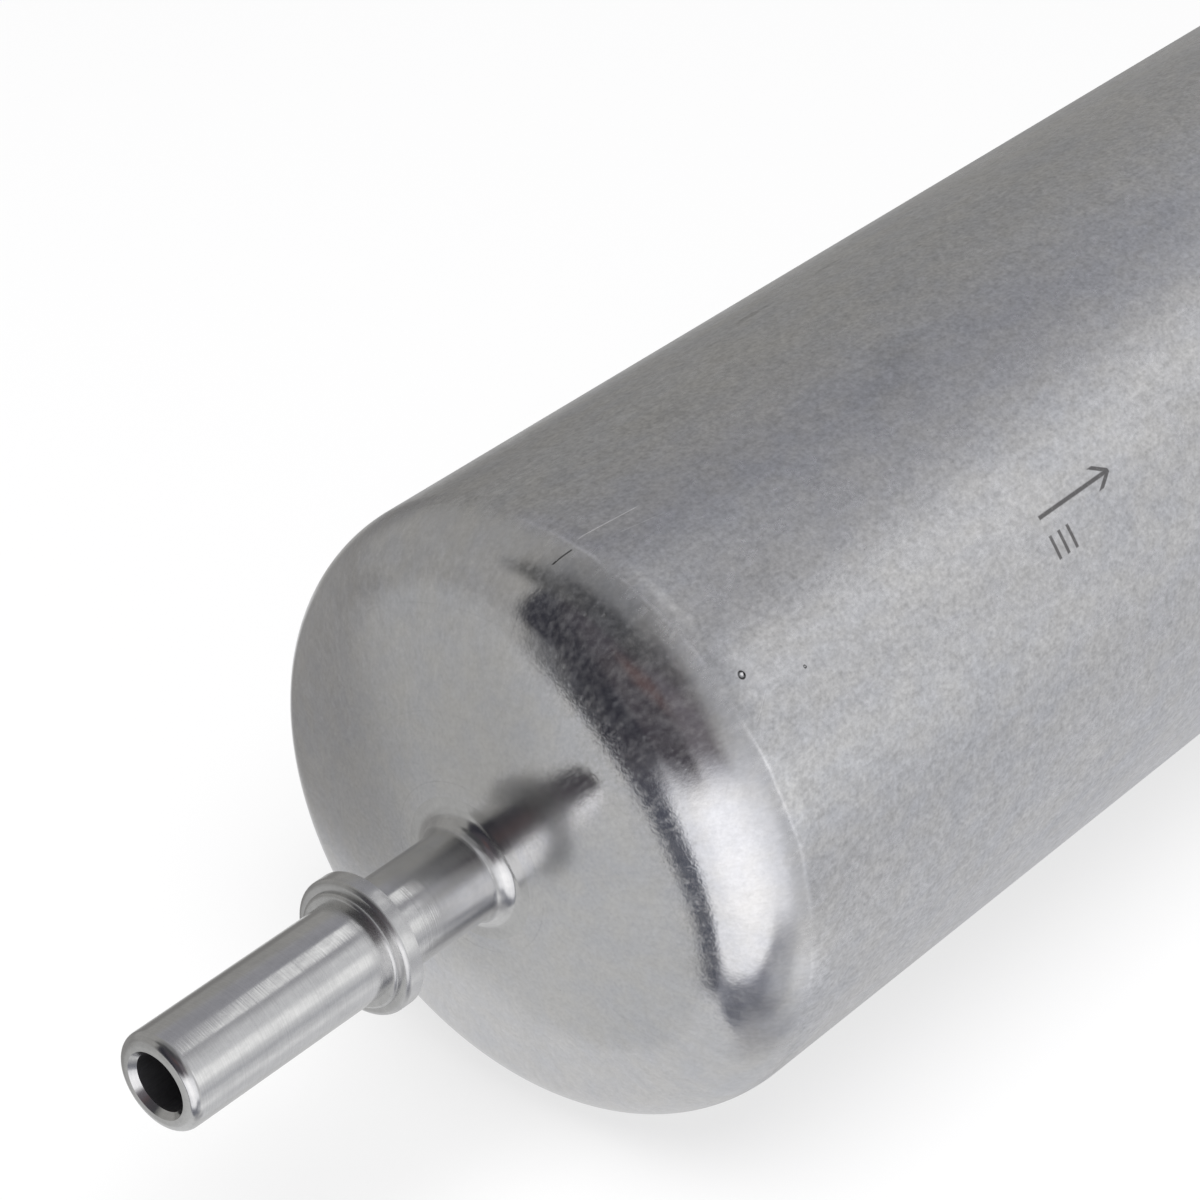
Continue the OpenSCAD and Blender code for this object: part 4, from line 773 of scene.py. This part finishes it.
    # roughness
    rough = put(tree, "Mix", {0: polished, 2: f["faceRoughness"],
                              3: f["shoulderRoughness"]}).outputs[0]
    rough = put(tree, "Mix", {0: blend, 2: rough, 3: f["sideRoughness"]}).outputs[0]
    rough = calc(tree, "ADD", rough, weigh(tree, maps, f["rougher"]))
    rough = calc(tree, "MAXIMUM", rough, f["leastRoughness"])

    # colour
    colour = blendColour(tree, product(tree, maps["cloud"], 0.6), rgb(*f["colour"]), rgb(*f["cool"]))
    colour = blendColour(tree, product(tree, maps["patch"], 0.4), colour, rgb(*f["warm"]))
    level = calc(tree, "MAXIMUM", weigh(tree, maps, f["brighter"]), 0.05)
    colour = blendColour(tree, 1.0, colour, grey(tree, level), "MULTIPLY")
    colour = blendColour(tree, maps["mark"], colour, rgb(*f["mark"]))

    # thin film of scatter, which mottles the shoulder where it mirrors the dark
    film = product(tree, polished, weigh(tree, maps, f["film"]))
    feed(tree, shader, {"Base Color": colour, "Roughness": rough,
                        "Metallic": calc(tree, "SUBTRACT", 1.0, film)})
    addRelief(tree, shader, weigh(tree, maps, f["higher"]))
    return material


def makeMark(tree, along, around, f):
    # a laser-etched flow arrow, tail towards the inlet, with plain bars beside it
    p = calc(tree, "SUBTRACT", along, f["markAlong"])
    q = calc(tree, "SUBTRACT", around, f["markAround"])

    def box(midP, midQ, halfP, halfQ):
        a = calc(tree, "SUBTRACT", halfP, apart(tree, p, midP))
        b = calc(tree, "SUBTRACT", halfQ, apart(tree, q, midQ))
        return ramp(tree, calc(tree, "MINIMUM", a, b), -0.06, 0.06)

    slope = apart(tree, calc(tree, "ABSOLUTE", q),
                  product(tree, calc(tree, "SUBTRACT", 5.3, p), 0.6))
    head = product(tree, ramp(tree, slope, 0.25, 0.15), box(4.2, 0.0, 1.2, 1.0))
    bars = [box(-1.6 - k * 1.1, 2.6, 0.17, 1.0) for k in (0, 1, 2)]
    mask = strongest(tree, [box(0.6, 0.0, 4.5, 0.17), head, *bars])
    worn = grain(tree, put(tree, "CombineXYZ", {0: p, 1: q}).outputs[0], 2.5, low=0.2, high=0.45)
    return product(tree, mask, total(tree, (1.0, 0.62), (worn, 0.28)))


spigotFinish = {
    "colour": (0.755, 0.755, 0.75), "shade": (0.62, 0.62, 0.62), "tick": 0.25,
    "collarAt": -15.3, "collarReach": 2.6, "collarFull": 1.6,
    # noises: scale per mm, stretch, low, high, detail
    "grains": {
        "lines": (1.0, (7.0, 0.05, 0.05), 0.3, 0.7, 2.0),
        "bands": (1.0, (1.1, 0.03, 0.03), 0.35, 0.65, 2.0),
        "cloud": (0.5, (0.6, 1, 1), 0.4, 0.62, 3.0),
        "sand": (2.4, (0.8, 1, 1), 0.3, 0.7, 2.0),
        "rub": (1.0, (0.25, 4.0, 4.0), 0.45, 0.75, 3.0),
    },
    # what each map adds to the shade, to the roughness and, in mm, to the relief
    "darker": {"lines": 0.35, "cloud": 0.35, "sand": 0.3, "rub": 0.1},
    "rougher": {"all": 0.09, "bands": 0.05, "cloud": 0.04, "lines": 0.03, "sand": 0.03,
                "collar": 0.10},
    "higher": {"lines": 0.0013, "bands": 0.001, "sand": 0.0009, "ticks": -0.004, "rub": -0.0004},
}


def makeTurnedMetal(f):
    material, tree, shader = newMaterial("turnedAluminium")
    here = findPlace(tree)
    place = here["Place"]
    maps = {name: grain(tree, place, *values) for name, values in f["grains"].items()}
    maps["all"] = 1.0
    maps["ticks"] = scratches(tree, place, 0.9, (3.0, 1.0, 1.0), 0.05, 0.10)
    maps["collar"] = ramp(tree, apart(tree, here["Along"], f["collarAt"]), f["collarReach"],
                          f["collarFull"])
    colour = blendColour(tree, weigh(tree, maps, f["darker"]), rgb(*f["colour"]), rgb(*f["shade"]))
    colour = blendColour(tree, product(tree, maps["ticks"], 0.4), colour, rgb(f["tick"]))
    feed(tree, shader, {"Base Color": colour, "Roughness": weigh(tree, maps, f["rougher"]),
                        "Metallic": 1.0})
    addRelief(tree, shader, weigh(tree, maps, f["higher"]))
    return material


# The bore and the inside of the can: drawn aluminium, its colour painted darker than the outside as
# painted shade in the deep bore
insideFinish = {"colour": (0.42, 0.42, 0.43), "shade": (0.30, 0.30, 0.32), "roughness": 0.45,
                "spread": 0.1}


def makeInsideMetal(f):
    material, tree, shader = newMaterial("insideAluminiumPaintedShade")
    drawn = grain(tree, findPlace(tree)["Place"], 1.0, (0.08, 3.0, 3.0))
    feed(tree, shader, {"Base Color": blendColour(tree, drawn, rgb(*f["colour"]), rgb(*f["shade"])),
                        "Roughness": total(tree, (1.0, f["roughness"]), (drawn, f["spread"])),
                        "Metallic": 1.0})
    return material


canShell.data.materials.append(makeBodyMetal(bodyFinish))
canShell.data.materials.append(makeTurnedMetal(spigotFinish))
canShell.data.materials.append(makeInsideMetal(insideFinish))
print("can finished")


# Mouldings: colour, second colour, roughness, its spread, grain per mm, grain depth in mm, and how
# much the flow of the plastic shows
mouldings = {
    "cover_plastic": ((0.021, 0.021, 0.023), (0.036, 0.036, 0.038), 0.40, 0.16, 4.0, 0.010, 0.6),
    "seal_rubber": ((0.016, 0.016, 0.017), (0.030, 0.030, 0.031), 0.58, 0.14, 3.0, 0.012, 0.2),
    "lead_red": ((0.42, 0.022, 0.018), (0.50, 0.05, 0.04), 0.34, 0.10, 2.0, 0.004, 0.2),
    "lead_brown": ((0.10, 0.046, 0.028), (0.14, 0.07, 0.045), 0.34, 0.10, 2.0, 0.004, 0.2),
    "natural_plastic": ((0.70, 0.665, 0.575), (0.76, 0.73, 0.66), 0.32, 0.12, 1.6, 0.004, 0.5),
    "hub_resin": ((0.085, 0.034, 0.018), (0.13, 0.06, 0.03), 0.38, 0.12, 2.5, 0.005, 0.6),
    "brush_carbon": ((0.035, 0.035, 0.037), (0.075, 0.075, 0.078), 0.50, 0.20, 6.0, 0.006, 0.1),
    "ferrite": ((0.050, 0.051, 0.056), (0.080, 0.081, 0.086), 0.46, 0.18, 3.5, 0.008, 0.3),
}


def makeMoulding(name, colour, mottle, roughness, spread, grainScale, depth, flowShare):
    material, tree, shader = newMaterial(name + "Moulding")
    place = findPlace(tree)["Place"]
    fine = grain(tree, place, grainScale, detail=4.0)
    cloud = grain(tree, place, 0.22, low=0.36, high=0.66, detail=4.0)
    flow = grain(tree, place, 0.5, (0.5, 1.6, 1.0), 0.4, 0.62, 5.0)
    ticks = scratches(tree, place, 0.5, (1.0, 2.6, 1.8), 0.05, 0.12)
    blend = total(tree, (fine, 0.30), (cloud, 0.30), (flow, 0.40 * flowShare), (ticks, 0.5))
    rough = total(tree, (1.0, roughness - spread * 0.4), (fine, spread * 0.35),
                  (cloud, spread * 0.35), (flow, spread * 0.3 * flowShare), (ticks, 0.1))
    feed(tree, shader, {"Base Color": blendColour(tree, blend, rgb(*colour), rgb(*mottle)),
                        "Roughness": rough})
    addRelief(tree, shader, total(tree, (fine, depth), (flow, depth * 0.5), (cloud, 0.01),
                                  (ticks, -0.004)))
    return material


# Metals of the smaller pieces: colour, shade, roughness, grain stretch per mm, depth in mm, pores
smallMetals = {
    "terminal_brass": ((0.78, 0.745, 0.66), (0.66, 0.60, 0.47), 0.24, (0.3, 5.0, 3.0), 0.0012, 0.0),
    "case_steel": ((0.57, 0.585, 0.60), (0.47, 0.485, 0.47), 0.33, (0.2, 1.6, 1.6), 0.002, 0.1),
    "plate_aluminium": ((0.68, 0.685, 0.695), (0.55, 0.555, 0.57), 0.30, (5.0, 0.2, 0.2), 0.0016, 0.2),
    "sintered_steel": ((0.36, 0.365, 0.385), (0.22, 0.225, 0.24), 0.36, (2.0, 2.0, 2.0), 0.002, 0.8),
    "ground_steel": ((0.66, 0.67, 0.69), (0.53, 0.54, 0.56), 0.20, (6.0, 0.3, 0.3), 0.0008, 0.0),
    "bearing_bronze": ((0.56, 0.36, 0.19), (0.38, 0.22, 0.11), 0.36, (2.5, 2.5, 2.5), 0.002, 0.9),
    "laminations": ((0.42, 0.43, 0.45), (0.12, 0.12, 0.135), 0.40, (1.9, 0.01, 0.01), 0.012, 0.1),
    "winding_copper": ((0.60, 0.235, 0.085), (0.34, 0.10, 0.035), 0.26, (0.5, 3.0, 3.0), 0.05, 0.0),
    "commutator_copper": ((0.72, 0.385, 0.225), (0.50, 0.22, 0.12), 0.26, (6.0, 0.3, 0.3), 0.0014, 0.0),
    "valve_brass": ((0.70, 0.55, 0.27), (0.52, 0.38, 0.16), 0.24, (6.0, 0.3, 0.3), 0.0012, 0.0),
}


def makeSmallMetal(name, bare, shade, roughness, stretch, depth, poreShare):
    material, tree, shader = newMaterial(name + "Metal")
    place = findPlace(tree)["Place"]
    lines = grain(tree, place, 1.0, stretch, 0.35, 0.65, 4.0)
    cloud = grain(tree, place, 0.35, low=0.38, high=0.64, detail=4.0)
    pores = product(tree, scratches(tree, place, 2.2, (1, 1, 1), 0.26, 0.5), poreShare)
    ticks = scratches(tree, place, 0.8, (1.0, 2.4, 1.6), 0.05, 0.10)
    blend = total(tree, (lines, 0.55), (cloud, 0.35), (pores, 0.8))
    colour = blendColour(tree, blend, rgb(*bare), rgb(*shade))
    colour = blendColour(tree, product(tree, ticks, 0.35), colour, rgb(0.2))
    rough = total(tree, (1.0, roughness - 0.05), (cloud, 0.07), (lines, 0.05), (pores, 0.25))
    feed(tree, shader, {"Base Color": colour, "Roughness": rough, "Metallic": 1.0})
    addRelief(tree, shader, total(tree, (lines, depth), (pores, -0.01), (ticks, -0.004),
                                  (cloud, 0.004)))
    return material


weave = {"colour": (0.66, 0.68, 0.63), "gap": (0.16, 0.17, 0.15), "stain": (0.42, 0.40, 0.30),
         "pitch": 0.30, "roughness": 0.45, "depth": 0.04}


def makeWeave(f):
    # the strainer's cloth: two sets of threads that pass over each other
    material, tree, shader = newMaterial("strainerCloth")
    place = findPlace(tree)["Place"]
    parts = put(tree, "SeparateXYZ", {0: place}).outputs
    threads = []
    for axis in ("Y", "Z"):
        wave = calc(tree, "SINE", product(tree, parts[axis], 2 * math.pi / f["pitch"]))
        threads.append(total(tree, (wave, 0.5), (1.0, 0.5)))
    cloth = calc(tree, "MAXIMUM", *threads)
    stain = grain(tree, place, 0.3, low=0.4, high=0.7)
    # the gaps between the threads, and the threads' sides where they dip, are painted dark: painted
    # shade in the openings of the cloth
    colour = blendColour(tree, ramp(tree, cloth, 0.25, 0.6), rgb(*f["gap"]), rgb(*f["colour"]))
    colour = blendColour(tree, product(tree, stain, 0.3), colour, rgb(*f["stain"]), "MULTIPLY")
    feed(tree, shader, {"Base Color": colour,
                        "Roughness": total(tree, (1.0, f["roughness"]), (stain, 0.15))})
    addRelief(tree, shader, product(tree, cloth, f["depth"]))
    return material


slotMaterials = {name: makeMoulding(name, *row) for name, row in mouldings.items()}
slotMaterials.update({name: makeSmallMetal(name, *row) for name, row in smallMetals.items()})
slotMaterials["mesh_polyamide"] = makeWeave(weave)
slotMaterials["can_aluminium"] = canShell.data.materials[0]

slotNodes = {
    "can_aluminium": ["can"],
    "cover_plastic": ["end_cover", "outlet_nipple"],
    "seal_rubber": ["cover_seal", "front_isolator", "rear_isolator", "nipple_seal"],
    "terminal_brass": ["terminal_positive", "terminal_negative", "module_tabs"],
    "lead_red": ["lead_positive"],
    "lead_brown": ["lead_negative"],
    "natural_plastic": ["strainer_frame", "thrust_washers", "brush_carrier", "check_poppet"],
    "mesh_polyamide": ["strainer_mesh"],
    "case_steel": ["module_case"],
    "plate_aluminium": ["inlet_plate", "port_plate"],
    "sintered_steel": ["eccentric_ring", "gerotor_outer", "gerotor_inner"],
    "ground_steel": ["locating_pins", "shaft", "drive_pin", "magnet_clips", "brush_spring_left",
                     "brush_spring_right", "check_spring", "relief_ball", "relief_spring"],
    "bearing_bronze": ["front_bearing", "rear_bearing"],
    "laminations": ["armature_core"],
    "winding_copper": ["windings", "choke_positive", "choke_negative"],
    "commutator_copper": ["commutator_bars"],
    "hub_resin": ["commutator_hub"],
    "ferrite": ["magnet_upper", "magnet_lower"],
    "brush_carbon": ["brush_left", "brush_right"],
    "valve_brass": ["check_retainer", "relief_plug"],
}
for slotName, nodeNames in slotNodes.items():
    for nodeName in nodeNames:
        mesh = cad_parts[nodeName].data
        mesh.materials.clear()
        mesh.materials.append(slotMaterials[slotName])
dressed = sum(len(names) for names in slotNodes.values())
print("finishes on", dressed, "of", len(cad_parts), "nodes")


weldDistance = 2e-6  # metres
flatAngle = 1.0  # degrees between faces that are made one


def weldedShape(nodeName):
    work = bmesh.new()
    work.from_mesh(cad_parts[nodeName].data)
    bmesh.ops.remove_doubles(work, verts=work.verts, dist=weldDistance)
    return work


# Edges of the pieces that show at the outlet end: the CAD shape with its corners rounded. The
# rounding is in metres and the angle, above which a corner is rounded, in degrees.
edgePlans = {
    "endCover": {"node": "end_cover", "slot": "cover_plastic", "round": 0.00022, "steps": 2,
                 "angle": 32},
    "bladePositive": {"node": "terminal_positive", "slot": "terminal_brass", "round": 0.00010,
                      "steps": 2, "angle": 30},
    "bladeNegative": {"node": "terminal_negative", "slot": "terminal_brass", "round": 0.00010,
                      "steps": 2, "angle": 30},
}


def roundedCopy(name, plan):
    work = weldedShape(plan["node"])
    bmesh.ops.dissolve_limit(work, angle_limit=math.radians(flatAngle), verts=work.verts,
                             edges=work.edges)
    work.verts.index_update()
    points = [tuple(vertex.co) for vertex in work.verts]
    outlines = [[vertex.index for vertex in face.verts] for face in work.faces]
    work.free()
    mesh = bpy.data.meshes.new(name)
    mesh.from_pydata(points, [], outlines)
    mesh.polygons.foreach_set("use_smooth", [True] * len(outlines))
    mesh.update()
    piece = addObject(name, mesh)
    mesh.materials.append(slotMaterials[plan["slot"]])
    rounding = piece.modifiers.new("edges", "BEVEL")
    rounding.width = plan["round"]
    rounding.segments = plan["steps"]
    rounding.limit_method = "ANGLE"
    rounding.angle_limit = math.radians(plan["angle"])
    rounding.harden_normals = True
    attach(piece, "housing")
    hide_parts(plan["node"])


for pieceName, plan in edgePlans.items():
    roundedCopy(pieceName, plan)
print("outlet end dressed")


# Coil springs: the CAD shape, welded and smoothed. The seat is at the axis's low end (0) or its high
# end (1), and travel is in metres.
springPlans = {
    "checkCoil": {"node": "check_spring", "joint": "check_valve_slide", "axis": 0, "seat": 1,
                  "travel": 0.0018},
    "reliefCoil": {"node": "relief_spring", "joint": "relief_valve_slide", "axis": 0, "seat": 1,
                   "travel": 0.0012},
    "brushCoilLeft": {"node": "brush_spring_left", "joint": "brush_left_slide", "axis": 1, "seat": 1,
                      "travel": 0.0015},
    "brushCoilRight": {"node": "brush_spring_right", "joint": "brush_right_slide", "axis": 1, "seat": 0,
                       "travel": 0.0015},
}


def givingCoil(name, plan):
    work = weldedShape(plan["node"])
    mesh = bpy.data.meshes.new(name)
    work.to_mesh(mesh)
    work.free()
    mesh.polygons.foreach_set("use_smooth", [True] * len(mesh.polygons))
    mesh.materials.append(slotMaterials["ground_steel"])
    coil = addObject(name, mesh)
    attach(coil, "housing")
    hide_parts(plan["node"])
    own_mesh(coil)


for coilName, plan in springPlans.items():
    givingCoil(coilName, plan)
print("springs wound")
